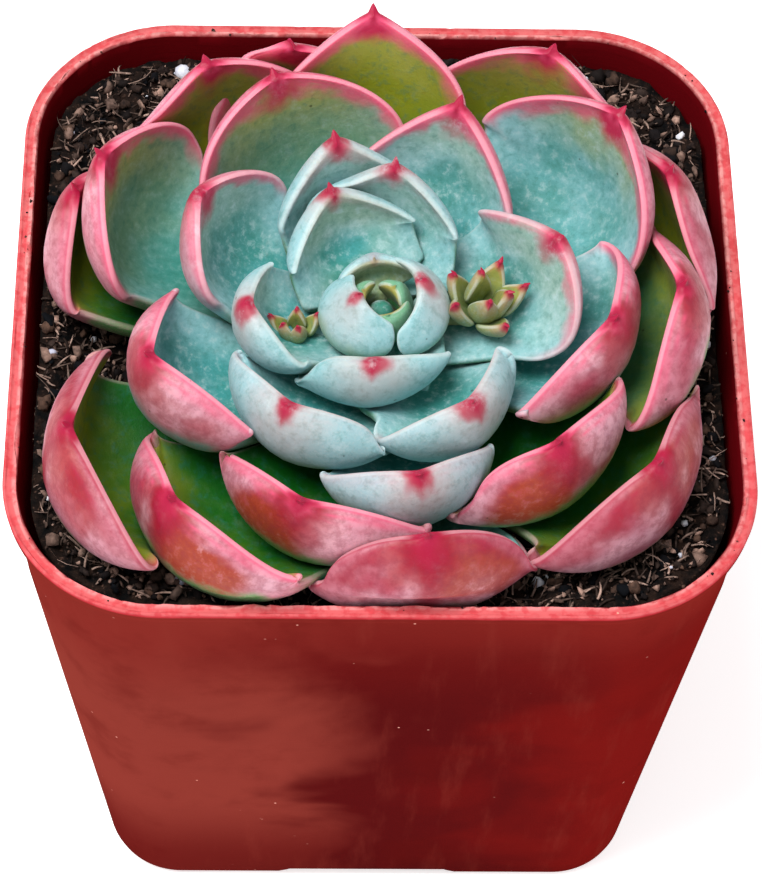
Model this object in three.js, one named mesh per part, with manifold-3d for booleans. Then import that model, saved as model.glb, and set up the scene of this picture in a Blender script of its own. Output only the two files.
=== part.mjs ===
// Potted rosette succulent, in millimetres, +Z up.
// The origin is at the middle of the pot's footprint, on the surface that the feet stand on.
// A square grower's pot holds a body of soil. A short stem stands in the soil, and the leaves
// spiral up the stem as a rosette, with one young offset on the right and a smaller one on the left.

import * as THREE from "three";
import { mergeVertices } from "three/addons/utils/BufferGeometryUtils.js";
import Module from "manifold-3d";

const wasm = await Module();
wasm.setup();

// Driving dimensions of the pot
const RIM_HALF = 31.75; // half of the 63.5 mm rim
const RIM_CORNER = 13.5;
const POT_HEIGHT = 60;
const BASE_HALF = 25;
const BASE_CORNER = 7;
const BEAD_HEIGHT = 1.2; // the lip that runs round the top
const BEAD_STEP = 0.4;
const RIM_BEVEL = 0.3;
const WALL = 1.1;
const RIM_WALL = 0.85; // the wall is thinner at the top
const FLOOR_TOP = 2.8;
const FOOT_EDGE = 0.6;
const CHANNEL_HEIGHT = 1.4; // the cross-shaped recess that leaves four corner feet
const CHANNEL_HALF = 7.5;
const CHANNEL_SLOPE = 1.6;
const DRAIN_RADIUS = 2.4;
const DRAIN_OFFSET = 12;
const CORNER_STEPS = 6; // faces round one corner of the pot

// Driving dimensions of the soil and the stem
const GAP = 0.3; // clearance between pieces that touch on the real plant
const SOIL_LEVEL = 53.6; // under the leaves
const SOIL_BANK = 1.5; // how much higher it lies along the walls
const BANK_FOOT = 20; // how far from the stem the bank starts and ends
const BANK_TOP = 31;
const SOIL_CRUMB = 0.55;
const STEM_FOOT = 40;
const STEM_TOP = 65.4;
const STEM_RADIUS = 3.2;
const HOLE_RADIUS = STEM_RADIUS + GAP;

// Driving dimensions of the rosette
const AXIS = new THREE.Vector3(-0.3, -4.5, 0); // where the stem stands
const ROOT_RADIUS = 1.6; // the leaves start inside the stem and are cut at its surface
const ROOT_WIDTH = 0.4; // share of the full width that the leaf has at the stem
const BELLY = 0.7; // share of a leaf's thickness that lies below its midrib
const EDGE = 0.34; // half of the thickness of a leaf's margin
const LEAST_HALF = 0.35; // half of the width where a leaf ends in its point
const OPEN_FROM = 0.65; // share of the length from which the cup opens out again
const THIN_FROM = 0.7; // share of the length from which the leaf thins to its tip
const SPIKE = 1.3; // the red point at the end of a leaf
// Where the sections of a leaf lie along it, and how many steps one face has across. Small leaves
// have fewer.
const LARGE = { stations: [0, 0.2, 0.39, 0.57, 0.72, 0.85, 0.95, 1], across: 6 };
const SMALL = { stations: [0, 0.26, 0.5, 0.7, 0.85, 0.95, 1], across: 4 };
const TINY = { stations: [0, 0.4, 0.75, 1], across: 2 };

// What the leaves of one whorl have in common: thickness, the half angle of the cup, the slope
// in degrees at the stem and at the tip, how far each end of the midrib runs straight on, and
// where along the leaf it is widest. The leaves of the heart have no cup of their own, but wrap
// round the heart at this radius.
const WHORLS = {
  heart: {
    ...SMALL, thick: 0.9, wrap: 5, widest: 0.62,
    slopeRoot: 10, slopeTip: 120, holdRoot: 1, holdTip: 0.5,
  },
  core: {
    ...SMALL, thick: 1.5, cup: 68, widest: 0.7,
    slopeRoot: 2, slopeTip: 104, holdRoot: 0.6, holdTip: 0.5,
  },
  inner: {
    ...SMALL, thick: 1.8, cup: 64, widest: 0.72,
    slopeRoot: -2, slopeTip: 104, holdRoot: 0.64, holdTip: 0.52,
  },
  middle: {
    ...LARGE, thick: 2, cup: 62, widest: 0.72,
    slopeRoot: -4, slopeTip: 106, holdRoot: 0.66, holdTip: 0.54,
  },
  outer: {
    ...LARGE, thick: 2.2, cup: 58, widest: 0.72,
    slopeRoot: -5, slopeTip: 108, holdRoot: 0.68, holdTip: 0.56,
  },
  pup: {
    ...TINY, thick: 0.5, cup: 50, widest: 0.45,
    slopeRoot: 20, slopeTip: 80, holdRoot: 0.4, holdTip: 0.4,
  },
};
const POINTED = { sharp: 2.2, blunt: 0.85 }; // a leaf that narrows to its point
const BUD = { slopeTip: 110, holdRoot: 0.4, holdTip: 0.4, wrap: 2 }; // the smallest leaves

// The closed leaves of the heart, which are fused in one body and lean a little to the front
const HEART_AXIS = new THREE.Vector3(-0.1, -6, 0);
const HEART_CORE_RADIUS = 1.6;
const HEART_CORE_STRETCH = 1.2;
const HEART = [
  { whorl: "heart", turn: 100, reach: 3.4, height: 69.7, width: 9.4, root: 66, holdRoot: 0.8 },
  { whorl: "heart", turn: 224, reach: 3.2, height: 70, width: 13, root: 66, holdRoot: 1.2 },
  { whorl: "heart", turn: 2, rootTurn: -24, reach: 3.7, height: 70, width: 13.4, root: 66, holdRoot: 1.3 },
  { whorl: "heart", turn: 290, reach: 1.9, height: 69.2, width: 3.4, root: 66.2, ...BUD },
  { whorl: "heart", turn: 165, reach: 1.5, height: 69.4, width: 3, root: 66.2, ...BUD },
];

// The single leaves, from the innermost to the outermost. turn is the direction in degrees,
// reach the distance from the axis to the tip, root the height at which the leaf leaves the stem,
// and roll how far the leaf has turned about its own midrib at the tip.
const LEAVES = [
  { whorl: "core", turn: 82, reach: 9.6, height: 72.6, width: 15, root: 64.4, slopeTip: 92, ...POINTED },
  { whorl: "core", turn: 119, reach: 8.2, height: 72.1, width: 15, root: 64.8, slopeTip: 94, ...POINTED },
  { whorl: "core", turn: 200, reach: 11.5, height: 71.4, width: 16, root: 64.2, slopeTip: 102 },
  { whorl: "core", turn: 266, reach: 9.1, height: 69.8, width: 18, root: 64.5, slopeTip: 102 },
  { whorl: "inner", turn: 10, reach: 15.3, height: 72, width: 15, root: 63.2, slopeTip: 90 },
  { whorl: "inner", turn: 107, reach: 12.6, height: 73, width: 15, root: 63.2, slopeTip: 90, ...POINTED },
  { whorl: "inner", turn: 241, rootTurn: 246, reach: 15.4, height: 70.6, width: 19, root: 62.8,
    slopeTip: 98 },
  { whorl: "inner", turn: 299, rootTurn: 304, reach: 15.3, height: 70.6, width: 19, root: 63, slopeTip: 98,
    roll: 12 },
  { whorl: "inner", turn: 155, reach: 16.8, height: 72, width: 17, root: 62, slopeTip: 90 },
  { whorl: "inner", turn: 67, reach: 17.5, height: 73, width: 18, root: 61.8, slopeTip: 84, ...POINTED },
  { whorl: "middle", turn: 279, reach: 20, height: 68.2, width: 20, root: 61.8, slopeTip: 100, roll: 6 },
  { whorl: "middle", turn: 347, reach: 19.8, height: 70.3, width: 20, root: 61.6, slopeTip: 104 },
  { whorl: "middle", turn: 205, reach: 20.8, height: 70.8, width: 19, root: 61.2, slopeTip: 98 },
  { whorl: "middle", turn: 253, rootTurn: 262, reach: 21.8, height: 67.6, width: 25, root: 60.6,
    slopeTip: 100 },
  { whorl: "middle", turn: 312, reach: 21.4, height: 69, width: 26, root: 60.4, slopeTip: 104 },
  { whorl: "middle", turn: 115, reach: 21.1, height: 72.9, width: 23, root: 60.4, slopeTip: 84, flat: 0.4 },
  { whorl: "outer", turn: 38, rootTurn: 42, reach: 26.3, height: 71.9, width: 24, root: 60, slopeTip: 88 },
  { whorl: "outer", turn: 91, reach: 25.1, height: 74, width: 20.5, root: 59.6, slopeTip: 74,
    holdTip: 0.4, sharp: 2.3, blunt: 0.95 },
  { whorl: "outer", turn: 154, rootTurn: 150, reach: 26.2, height: 71.4, width: 23, root: 59.6,
    slopeTip: 92 },
  { whorl: "outer", turn: 0, reach: 25.4, height: 69.2, width: 25, root: 59.2, slopeTip: 110 },
  { whorl: "outer", turn: 279, reach: 23.8, height: 66, width: 27, root: 58.8, cup: 34 },
  { whorl: "outer", turn: 233, rootTurn: 242, reach: 26.6, height: 67, width: 27, root: 58.8,
    slopeTip: 104 },
  { whorl: "outer", turn: 57, reach: 27.5, height: 71.7, width: 22, root: 58.4, slopeTip: 86,
    holdTip: 0.5 },
  { whorl: "outer", turn: 124, reach: 26.3, height: 71.2, width: 22, root: 58.4, slopeTip: 88 },
  { whorl: "outer", turn: 324, reach: 28.2, height: 66.4, width: 26, root: 58.2, slopeTip: 106 },
  { whorl: "outer", turn: 210, reach: 28.9, height: 67, width: 28, root: 58.2, slopeTip: 106 },
  { whorl: "outer", turn: 27, rootTurn: 20, reach: 28, height: 68.2, width: 23, root: 57.8, slopeTip: 108 },
  { whorl: "outer", turn: 157, reach: 28, height: 67.2, width: 22, root: 57.6, slopeTip: 108 },
  { whorl: "outer", turn: 107, reach: 25, height: 70.4, width: 18, root: 57.6, slopeTip: 85 },
];

// The young offsets: where each stands, how it leans, and its size against the larger one
const PUPS = [
  { name: "offset_right", foot: [8.1, -4.9, 65], lean: 14, toward: -20, scale: 1, count: 8 },
  { name: "offset_left", foot: [-7.2, -7.4, 65], lean: 6, toward: 200, scale: 0.62, count: 5 },
];
const PUP_REACH = 3.3;
const PUP_HEIGHT = 4.9;
const PUP_LEAF_WIDTH = 2.9;
const PUP_ROOT_RADIUS = 0.3;
const PUP_CORE_RADIUS = 0.9;
const PUP_CORE_HEIGHT = 1.2;
const PUP_STALK_RADIUS = 0.8;
const PUP_STALK_DROP = 0.7; // how far below the offset its stalk leaves the stem
const PUP_INNER_LEAVES = 3; // the last ones stand up round the middle
const GOLDEN_TURN = 137.5; // from one leaf to the next, in degrees

// Helpers for closed bodies

const UPWARD = new THREE.Vector3(0, 0, 1);
const radians = THREE.MathUtils.degToRad;

function direction(turn, slope = 0) {
  const level = Math.cos(radians(slope));
  const x = Math.cos(radians(turn)) * level;
  const y = Math.sin(radians(turn)) * level;
  return new THREE.Vector3(x, y, Math.sin(radians(slope)));
}

function body(points, triangles) {
  const volume = triangles.reduce((sum, [a, b, c]) => {
    return sum + points[a].dot(points[b].clone().cross(points[c]));
  }, 0);
  const outward = volume > 0 ? triangles : triangles.map(([a, b, c]) => [a, c, b]);
  const vertProperties = new Float32Array(points.flatMap((p) => p.toArray()));
  const triVerts = new Uint32Array(outward.flat());
  return new wasm.Manifold(new wasm.Mesh({ numProp: 3, vertProperties, triVerts }));
}

function bodyOf(geometry) {
  geometry.deleteAttribute("normal");
  geometry.deleteAttribute("uv");
  const merged = mergeVertices(geometry, 1e-4);
  const vertProperties = new Float32Array(merged.attributes.position.array);
  const triVerts = new Uint32Array(merged.index.array);
  return new wasm.Manifold(new wasm.Mesh({ numProp: 3, vertProperties, triVerts }));
}

function nodeMesh(name, solid, material) {
  const mesh = solid.getMesh();
  const geometry = new THREE.BufferGeometry();
  geometry.setAttribute("position", new THREE.BufferAttribute(new Float32Array(mesh.vertProperties), 3));
  geometry.setIndex(new THREE.BufferAttribute(new Uint32Array(mesh.triVerts), 1));
  geometry.computeVertexNormals();
  const node = new THREE.Mesh(geometry, material);
  node.name = name;
  return node;
}

// A band of triangles between two rings of points. Where the flag is set for a step, its
// diagonal runs the other way, so that both faces of a thin leaf are split alike.
function band(first, second, count, flipped = () => false) {
  const triangles = [];
  for (let j = 0; j < count; j += 1) {
    const k = (j + 1) % count;
    if (flipped(j)) {
      triangles.push([first + j, first + k, second + j], [first + k, second + k, second + j]);
    } else {
      triangles.push([first + j, first + k, second + k], [first + j, second + k, second + j]);
    }
  }
  return triangles;
}

// A body lofted through rings of the same number of points, with a fan at each end
function loft(rings) {
  const count = rings[0].length;
  const points = rings.flat();
  const triangles = [];
  for (let i = 0; i + 1 < rings.length; i += 1) {
    triangles.push(...band(i * count, (i + 1) * count, count));
  }
  const last = (rings.length - 1) * count;
  const middleOf = (ring) => {
    const sum = ring.reduce((total, p) => total.add(p), new THREE.Vector3());
    return sum.divideScalar(ring.length);
  };
  const bottom = points.push(middleOf(rings[0])) - 1;
  const top = points.push(middleOf(rings[rings.length - 1])) - 1;
  for (let j = 0; j < count; j += 1) {
    const k = (j + 1) % count;
    triangles.push([bottom, k, j], [top, last + j, last + k]);
  }
  return body(points, triangles);
}

// A level outline: a square with round corners, at one height
function roundedSquare(half, corner, z, cornerSteps = CORNER_STEPS, sideSteps = 1) {
  const ring = [];
  for (let quarter = 0; quarter < 4; quarter += 1) {
    const turn = quarter * 90;
    const reach = half - corner;
    const centre = direction(turn + 45).multiplyScalar(reach * Math.SQRT2);
    for (let i = 0; i <= cornerSteps; i += 1) {
      ring.push(direction(turn + (90 * i) / cornerSteps).multiplyScalar(corner).add(centre).setZ(z));
    }
    const start = ring[ring.length - 1];
    const end = direction(turn + 90).multiplyScalar(corner)
      .add(direction(turn + 135).multiplyScalar(reach * Math.SQRT2)).setZ(z);
    for (let i = 1; i < sideSteps; i += 1) {
      ring.push(start.clone().lerp(end, i / sideSteps));
    }
  }
  return ring;
}

// The pot

// Half width and corner radius of the outer wall at a height
function wallAt(z) {
  const share = z / POT_HEIGHT;
  return {
    half: BASE_HALF + (RIM_HALF - BEAD_STEP - BASE_HALF) * share,
    corner: BASE_CORNER + (RIM_CORNER - BEAD_STEP - BASE_CORNER) * share,
  };
}

function wallRing(z, inset, cornerSteps, sideSteps) {
  const { half, corner } = wallAt(z);
  return roundedSquare(half - inset, corner - inset, z, cornerSteps, sideSteps);
}

function makePot() {
  const beadFoot = POT_HEIGHT - BEAD_HEIGHT;
  const outside = loft([
    wallRing(0, FOOT_EDGE),
    wallRing(FOOT_EDGE, 0),
    wallRing(beadFoot - BEAD_STEP, 0),
    roundedSquare(RIM_HALF, RIM_CORNER, beadFoot),
    roundedSquare(RIM_HALF, RIM_CORNER, POT_HEIGHT - RIM_BEVEL),
    roundedSquare(RIM_HALF - RIM_BEVEL, RIM_CORNER - RIM_BEVEL, POT_HEIGHT),
  ]);
  const inside = loft([wallRing(FLOOR_TOP, WALL), wallRing(POT_HEIGHT + 1, RIM_WALL)]);
  let pot = outside.subtract(inside);
  for (const turned of [0, Math.PI / 2]) {
    const foot = CHANNEL_HALF + CHANNEL_SLOPE;
    const section = new THREE.Shape();
    section.moveTo(-foot, -1);
    section.lineTo(foot, -1);
    section.lineTo(foot, 0);
    section.lineTo(CHANNEL_HALF, CHANNEL_HEIGHT);
    section.lineTo(-CHANNEL_HALF, CHANNEL_HEIGHT);
    section.lineTo(-foot, 0);
    section.closePath();
    const channel = new THREE.ExtrudeGeometry(section, { depth: 2 * RIM_HALF, bevelEnabled: false });
    channel.translate(0, 0, -RIM_HALF);
    channel.rotateX(Math.PI / 2);
    channel.rotateZ(turned);
    pot = pot.subtract(bodyOf(channel));
  }
  const drains = [new THREE.Vector3(), ...[0, 90, 180, 270].map((turn) => {
    return direction(turn).multiplyScalar(DRAIN_OFFSET);
  })];
  for (const { x, y } of drains) {
    const drain = new THREE.CylinderGeometry(DRAIN_RADIUS, DRAIN_RADIUS, 4 * FLOOR_TOP, 16);
    drain.rotateX(Math.PI / 2);
    drain.translate(x, y, 0);
    pot = pot.subtract(bodyOf(drain));
  }
  return pot;
}

// The soil

// Crumbs as a sum of waves that never fall in step
function crumbs(x, y) {
  const broad = Math.sin(x * 0.61 + 1.3) * Math.cos(y * 0.53 - 0.4);
  const fine = Math.sin(x * 1.37 + y * 1.11) * Math.cos(y * 1.73 - x * 0.67 + 0.9);
  return SOIL_CRUMB * (0.5 * broad + 0.5 * fine);
}

function soilHeight(p) {
  const far = Math.hypot(p.x - AXIS.x, p.y - AXIS.y);
  const bank = THREE.MathUtils.smoothstep(far, BANK_FOOT, BANK_TOP);
  return SOIL_LEVEL + SOIL_BANK * bank + crumbs(p.x, p.y);
}

function makeSoil() {
  const inset = WALL + GAP;
  const shares = [1, 0.95, 0.9, 0.85, 0.8, 0.74, 0.66, 0.54, 0.36];
  const edge = wallRing(SOIL_LEVEL, inset, CORNER_STEPS + 1, 5);
  const floor = wallRing(FLOOR_TOP + GAP, inset, CORNER_STEPS + 1, 5);
  const middle = new THREE.Vector3(AXIS.x, AXIS.y, SOIL_LEVEL);
  const surface = shares.map((share) => {
    return edge.map((p) => {
      const q = middle.clone().lerp(p, share);
      return q.setZ(soilHeight(q));
    });
  });
  const depth = POT_HEIGHT - STEM_FOOT + GAP;
  const hole = new THREE.CylinderGeometry(HOLE_RADIUS, HOLE_RADIUS, depth, 20);
  hole.rotateX(Math.PI / 2);
  hole.translate(AXIS.x, AXIS.y, POT_HEIGHT - depth / 2);
  return loft([floor, ...surface]).subtract(bodyOf(hole));
}

// The stem, thickest where it leaves the soil

function stemBody(grow = 0) {
  const profile = [
    [0, STEM_FOOT - grow],
    [STEM_RADIUS * 0.55 + grow, STEM_FOOT - grow],
    [STEM_RADIUS * 0.85 + grow, STEM_FOOT + 8],
    [STEM_RADIUS + grow, SOIL_LEVEL - 1],
    [STEM_RADIUS * 0.96 + grow, SOIL_LEVEL + 4],
    [STEM_RADIUS * 0.84 + grow, STEM_TOP - 3],
    [STEM_RADIUS * 0.6 + grow, STEM_TOP + grow],
    [0, STEM_TOP + grow],
  ];
  const lathe = new THREE.LatheGeometry(profile.map(([r, z]) => new THREE.Vector2(r, z)), 16);
  lathe.rotateX(Math.PI / 2);
  lathe.scale(1, -1, 1);
  lathe.index.array.reverse();
  lathe.translate(AXIS.x, AXIS.y, 0);
  return bodyOf(lathe);
}

// One leaf

// How far a share s of the length lies past a starting share, from 0 there to 1 at the tip
function pastShare(s, start) {
  return Math.min(1, Math.max(0, (s - start) / (1 - start)));
}

// Share of the full width at a share s of the length: it swells to the widest place and then
// rounds off to the tip
function widthShare(s, leaf) {
  if (s < leaf.widest) {
    return ROOT_WIDTH + (1 - ROOT_WIDTH) * Math.sin((Math.PI / 2) * (s / leaf.widest)) ** 1.4;
  }
  return (1 - pastShare(s, leaf.widest) ** (leaf.sharp ?? 2.8)) ** (leaf.blunt ?? 0.55);
}

function leafBody(row, grow = 0, axis = AXIS) {
  const leaf = { ...WHORLS[row.whorl], ...row };
  const rootTurn = leaf.rootTurn ?? leaf.turn;
  const rootRadius = leaf.rootRadius ?? ROOT_RADIUS;
  const root = direction(rootTurn).multiplyScalar(rootRadius).add(axis).setZ(leaf.root);
  const tip = direction(leaf.turn).multiplyScalar(leaf.reach).add(axis).setZ(leaf.height);
  const length = root.distanceTo(tip);
  const rootWay = direction(rootTurn, leaf.slopeRoot);
  const tipWay = direction(leaf.turn, leaf.slopeTip);
  const midrib = new THREE.CubicBezierCurve3(
    root,
    rootWay.clone().multiplyScalar(length * leaf.holdRoot).add(root),
    tipWay.clone().multiplyScalar(-length * leaf.holdTip).add(tip),
    tip,
  );
  const { stations, across: steps } = leaf;
  const count = 2 * (steps + 1);
  const points = [];
  for (const s of stations) {
    const place = midrib.getPoint(s);
    const along = midrib.getTangent(s);
    const turn = rootTurn + (leaf.turn - rootTurn) * s;
    const across = direction(turn + 90);
    across.addScaledVector(along, -across.dot(along)).normalize();
    across.applyAxisAngle(along, radians((leaf.roll ?? 0) * s));
    const up = along.clone().cross(across);
    const half = Math.max((leaf.width / 2) * widthShare(s, leaf), LEAST_HALF) + grow;
    const opened = 1 - (leaf.flat ?? 0.25) * pastShare(s, OPEN_FROM) ** 2;
    const closed = 0.25 + 0.75 * Math.sin((Math.PI / 2) * Math.min(1, s / 0.6));
    const cup = radians(leaf.cup ?? 0) * closed * opened;
    const thinning = 1 - 0.55 * pastShare(s, THIN_FROM) ** 2;
    const thick = leaf.thick * (0.75 + 0.25 * Math.sin(Math.PI * Math.min(s / 0.9, 1))) * thinning;
    const edge = EDGE * (leaf.scale ?? 1) + grow;
    const face = (u, share, side) => {
      const offset = side * (edge + thick * share * (1 - Math.abs(u) ** 2.2));
      if (leaf.wrap) {
        return place.clone().addScaledVector(up, offset).sub(axis)
          .applyAxisAngle(UPWARD, (half / leaf.wrap) * u).add(axis);
      }
      const bend = cup * u;
      const out = up.clone().multiplyScalar(Math.cos(bend)).addScaledVector(across, -Math.sin(bend));
      return place.clone()
        .addScaledVector(across, (half / cup) * Math.sin(bend))
        .addScaledVector(up, (half / cup) * (1 - Math.cos(bend)))
        .addScaledVector(out, offset);
    };
    for (let j = 0; j <= steps; j += 1) {
      points.push(face(-1 + (2 * j) / steps, 1 - BELLY, 1));
    }
    for (let j = steps; j >= 0; j -= 1) {
      points.push(face(-1 + (2 * j) / steps, BELLY, -1));
    }
  }
  const triangles = [];
  const last = (stations.length - 1) * count;
  for (let i = 0; i < last; i += count) {
    triangles.push(...band(i, i + count, count, (j) => j > steps));
  }
  for (let j = 0; j < steps; j += 1) {
    const k = count - 1 - j;
    triangles.push([j + 1, j, k], [j + 1, k, k - 1]);
  }
  const point = tipWay.multiplyScalar(SPIKE * (leaf.scale ?? 1) + 2 * grow).add(tip);
  const spike = points.push(point) - 1;
  for (let j = 0; j < count; j += 1) {
    triangles.push([last + j, last + ((j + 1) % count), spike]);
  }
  return body(points, triangles);
}

// The heart: its closed leaves stand on a small core

function heartBody(grow = 0) {
  const core = new THREE.SphereGeometry(HEART_CORE_RADIUS + grow, 8, 6);
  core.scale(1, 1, HEART_CORE_STRETCH);
  core.translate(HEART_AXIS.x, HEART_AXIS.y, STEM_TOP + GAP + HEART_CORE_RADIUS);
  return HEART.reduce((sum, row) => sum.add(leafBody(row, grow, HEART_AXIS)), bodyOf(core));
}

// A young offset: a small rosette on a stalk that comes out of the stem

function pupBody(pup, grow = 0) {
  const origin = new THREE.Vector3();
  const core = new THREE.SphereGeometry(PUP_CORE_RADIUS * pup.scale + grow, 6, 4);
  core.scale(1, 1, 1.5);
  core.translate(0, 0, PUP_CORE_HEIGHT * pup.scale);
  let young = bodyOf(core);
  for (let i = 0; i < pup.count; i += 1) {
    const inner = i >= pup.count - PUP_INNER_LEAVES;
    const row = {
      whorl: "pup",
      turn: 20 + i * GOLDEN_TURN,
      rootRadius: PUP_ROOT_RADIUS * pup.scale,
      reach: PUP_REACH * pup.scale * (inner ? 0.45 : 1),
      height: PUP_HEIGHT * pup.scale * (inner ? 1 : 0.82),
      width: PUP_LEAF_WIDTH * pup.scale,
      root: (inner ? 0.9 : 0.3) * pup.scale,
      scale: 0.9 * pup.scale,
      sharp: 1.8,
      blunt: 1,
    };
    young = young.add(leafBody(row, grow, origin));
  }
  const foot = new THREE.Vector3(...pup.foot);
  const lean = new THREE.Quaternion().setFromAxisAngle(direction(pup.toward + 90), radians(pup.lean));
  const stand = new THREE.Matrix4().compose(foot, lean, new THREE.Vector3(1, 1, 1));
  young = young.transform(stand.elements);
  const start = new THREE.Vector3(AXIS.x, AXIS.y, foot.z - PUP_STALK_DROP);
  const reach = foot.clone().sub(start);
  const radius = PUP_STALK_RADIUS * pup.scale + grow;
  const stalk = new THREE.CylinderGeometry(radius, radius, reach.length() + PUP_CORE_HEIGHT, 6);
  const lie = new THREE.Quaternion().setFromUnitVectors(new THREE.Vector3(0, 1, 0), reach.normalize());
  stalk.applyQuaternion(lie);
  const middle = start.clone().lerp(foot, 0.55);
  stalk.translate(middle.x, middle.y, middle.z);
  return young.add(bodyOf(stalk));
}

// Colours

function finish(color, roughness) {
  return new THREE.MeshStandardMaterial({ color, roughness, metalness: 0 });
}

const terracotta = finish(0xb0402c, 0.45);
const peat = finish(0x2c211b, 0.95);
const bark = finish(0x8a8f5a, 0.8);
const heartGreen = finish(0xa9d3c6, 0.6);
const innerGreen = finish(0x93c9bb, 0.6);
const outerGreen = finish(0xc98a97, 0.55);
const pupGreen = finish(0xc6b79a, 0.55);

// The whole plant in its pot. Each piece is cut back where the pieces that grew above it lie,
// so that the leaves nestle against each other without touching.

const plant = new THREE.Group();
const stemClear = stemBody(GAP);
const above = [];

function place(name, solid, grown, material) {
  const box = solid.boundingBox();
  const near = above.filter((other) => {
    return [0, 1, 2].every((i) => other.box.min[i] < box.max[i] && other.box.max[i] > box.min[i]);
  });
  const cut = near.reduce((rest, other) => rest.subtract(other.solid), solid.subtract(stemClear));
  const pieces = cut.decompose().sort((a, b) => b.volume() - a.volume());
  plant.add(nodeMesh(name, pieces[0], material));
  above.push({ solid: grown, box: grown.boundingBox() });
}

plant.add(nodeMesh("pot", makePot(), terracotta));
plant.add(nodeMesh("soil", makeSoil(), peat));
plant.add(nodeMesh("stem", stemBody(), bark));
place("heart", heartBody(), heartBody(GAP), heartGreen);
for (const pup of PUPS) {
  place(pup.name, pupBody(pup), pupBody(pup, GAP), pupGreen);
}
LEAVES.forEach((row, i) => {
  const name = `leaf_${String(i + 1).padStart(2, "0")}`;
  const material = row.whorl === "outer" || row.whorl === "middle" ? outerGreen : innerGreen;
  place(name, leafBody(row), leafBody(row, GAP), material);
});

export default plant;
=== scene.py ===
# %% [markdown]
# # A rosette succulent in a square grower's pot
# This lesson dresses a finished solid model of a potted rosette: the solids give every piece its
# place and its real size, and Blender gives it its fine surface and its finish. The pieces are
# made in the order in which the plant was potted: pot, soil, stem, leaves and offsets.

# %% Load the fixed frame
import math
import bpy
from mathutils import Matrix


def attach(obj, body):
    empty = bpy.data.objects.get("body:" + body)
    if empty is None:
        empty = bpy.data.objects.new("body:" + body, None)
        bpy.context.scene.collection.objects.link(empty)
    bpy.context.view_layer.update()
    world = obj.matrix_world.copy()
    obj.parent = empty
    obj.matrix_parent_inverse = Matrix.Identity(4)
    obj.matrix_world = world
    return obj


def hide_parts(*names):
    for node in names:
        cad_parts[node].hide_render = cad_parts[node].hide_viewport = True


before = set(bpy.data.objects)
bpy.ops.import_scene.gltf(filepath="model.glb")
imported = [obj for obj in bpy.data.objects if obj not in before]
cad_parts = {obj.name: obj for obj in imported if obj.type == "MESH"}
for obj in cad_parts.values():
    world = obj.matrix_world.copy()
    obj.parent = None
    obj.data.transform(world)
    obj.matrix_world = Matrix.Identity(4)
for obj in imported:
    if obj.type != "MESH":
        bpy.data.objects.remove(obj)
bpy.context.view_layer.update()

from types import SimpleNamespace

import bpy
import numpy as np
from mathutils import Matrix, Vector, noise
from mathutils.bvhtree import BVHTree

MM = 0.001  # lengths below are in millimetres unless a name says otherwise
print("nodes in the frame:", len(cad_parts))

# %% [markdown]
# ## Camera, light and floor
# The picture looks down on the pot from the front, through a long lens that hardly narrows the
# far side. The camera comes first, because each later choice of detail depends on what it sees.
# Its axes are worked out from its azimuth, elevation and roll and written in one matrix.

# %% Camera
VIEW_TARGET = Vector((1.04, 8.59, 26.05)) * MM
VIEW_AZIMUTH = math.radians(-2.55)
VIEW_ELEVATION = math.radians(56)
VIEW_ROLL = math.radians(2.56)
VIEW_DISTANCE = 325.8 * MM
LENS = 137.94  # for a 36 mm sensor along the longer side of the picture


def add_camera():
    azimuth, elevation = VIEW_AZIMUTH, VIEW_ELEVATION
    back = Vector((math.sin(azimuth) * math.cos(elevation),
                   -math.cos(azimuth) * math.cos(elevation), math.sin(elevation)))
    level = Vector((math.cos(azimuth), math.sin(azimuth), 0))
    upright = back.cross(level)
    right = level * math.cos(VIEW_ROLL) + upright * math.sin(VIEW_ROLL)
    up = upright * math.cos(VIEW_ROLL) - level * math.sin(VIEW_ROLL)
    data = bpy.data.cameras.new("camera")
    data.lens = LENS
    camera = bpy.data.objects.new("camera", data)
    turned = Matrix((right, up, back)).transposed().to_4x4()
    camera.matrix_world = Matrix.Translation(VIEW_TARGET + back * VIEW_DISTANCE) @ turned
    bpy.context.scene.collection.objects.link(camera)
    return camera


camera = add_camera()
bpy.context.scene.camera = camera
print("camera at", [round(v, 4) for v in camera.matrix_world.translation])

# %% [markdown]
# Soft daylight comes from all round, with a large bright window high on the left. A real
# studio would use a light tent and one softbox, and so does this scene: an even world colour
# and two area lights. The view transform is Standard, so that a colour given to a surface is
# the colour that comes out.

# %% Lights
def add_light(name, place, size, watts, color):
    data = bpy.data.lights.new(name, "AREA")
    data.shape = "DISK"
    data.size = size
    data.energy = watts
    data.color = color
    light = bpy.data.objects.new(name, data)
    light.location = place
    aim = Vector((0, 0, 0.06)) - Vector(place)
    light.rotation_euler = aim.to_track_quat("-Z", "Y").to_euler()
    bpy.context.scene.collection.objects.link(light)


def add_daylight(strength):
    world = bpy.data.worlds.new("daylight")
    world.use_nodes = True
    background = world.node_tree.nodes["Background"]
    background.inputs["Color"].default_value = (0.97, 0.985, 1.0, 1)
    background.inputs["Strength"].default_value = strength
    bpy.context.scene.world = world


add_daylight(0.47)
add_light("window", (-0.14, -0.04, 0.50), 0.26, 2.5, (1.0, 0.985, 0.96))
add_light("fill", (0.30, -0.40, 0.30), 0.40, 0.35, (1.0, 0.97, 0.94))
bpy.context.scene.view_settings.view_transform = "Standard"
bpy.context.scene.view_settings.look = "None"

# %% [markdown]
# ## Helpers for materials
# A procedural material is a tree of nodes. It could be put together by hand in the shader editor,
# but then nobody could read it here. These small functions add a node, set its inputs or link
# them, and give back the socket to go on with, so that each finish below reads as a recipe.

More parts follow.
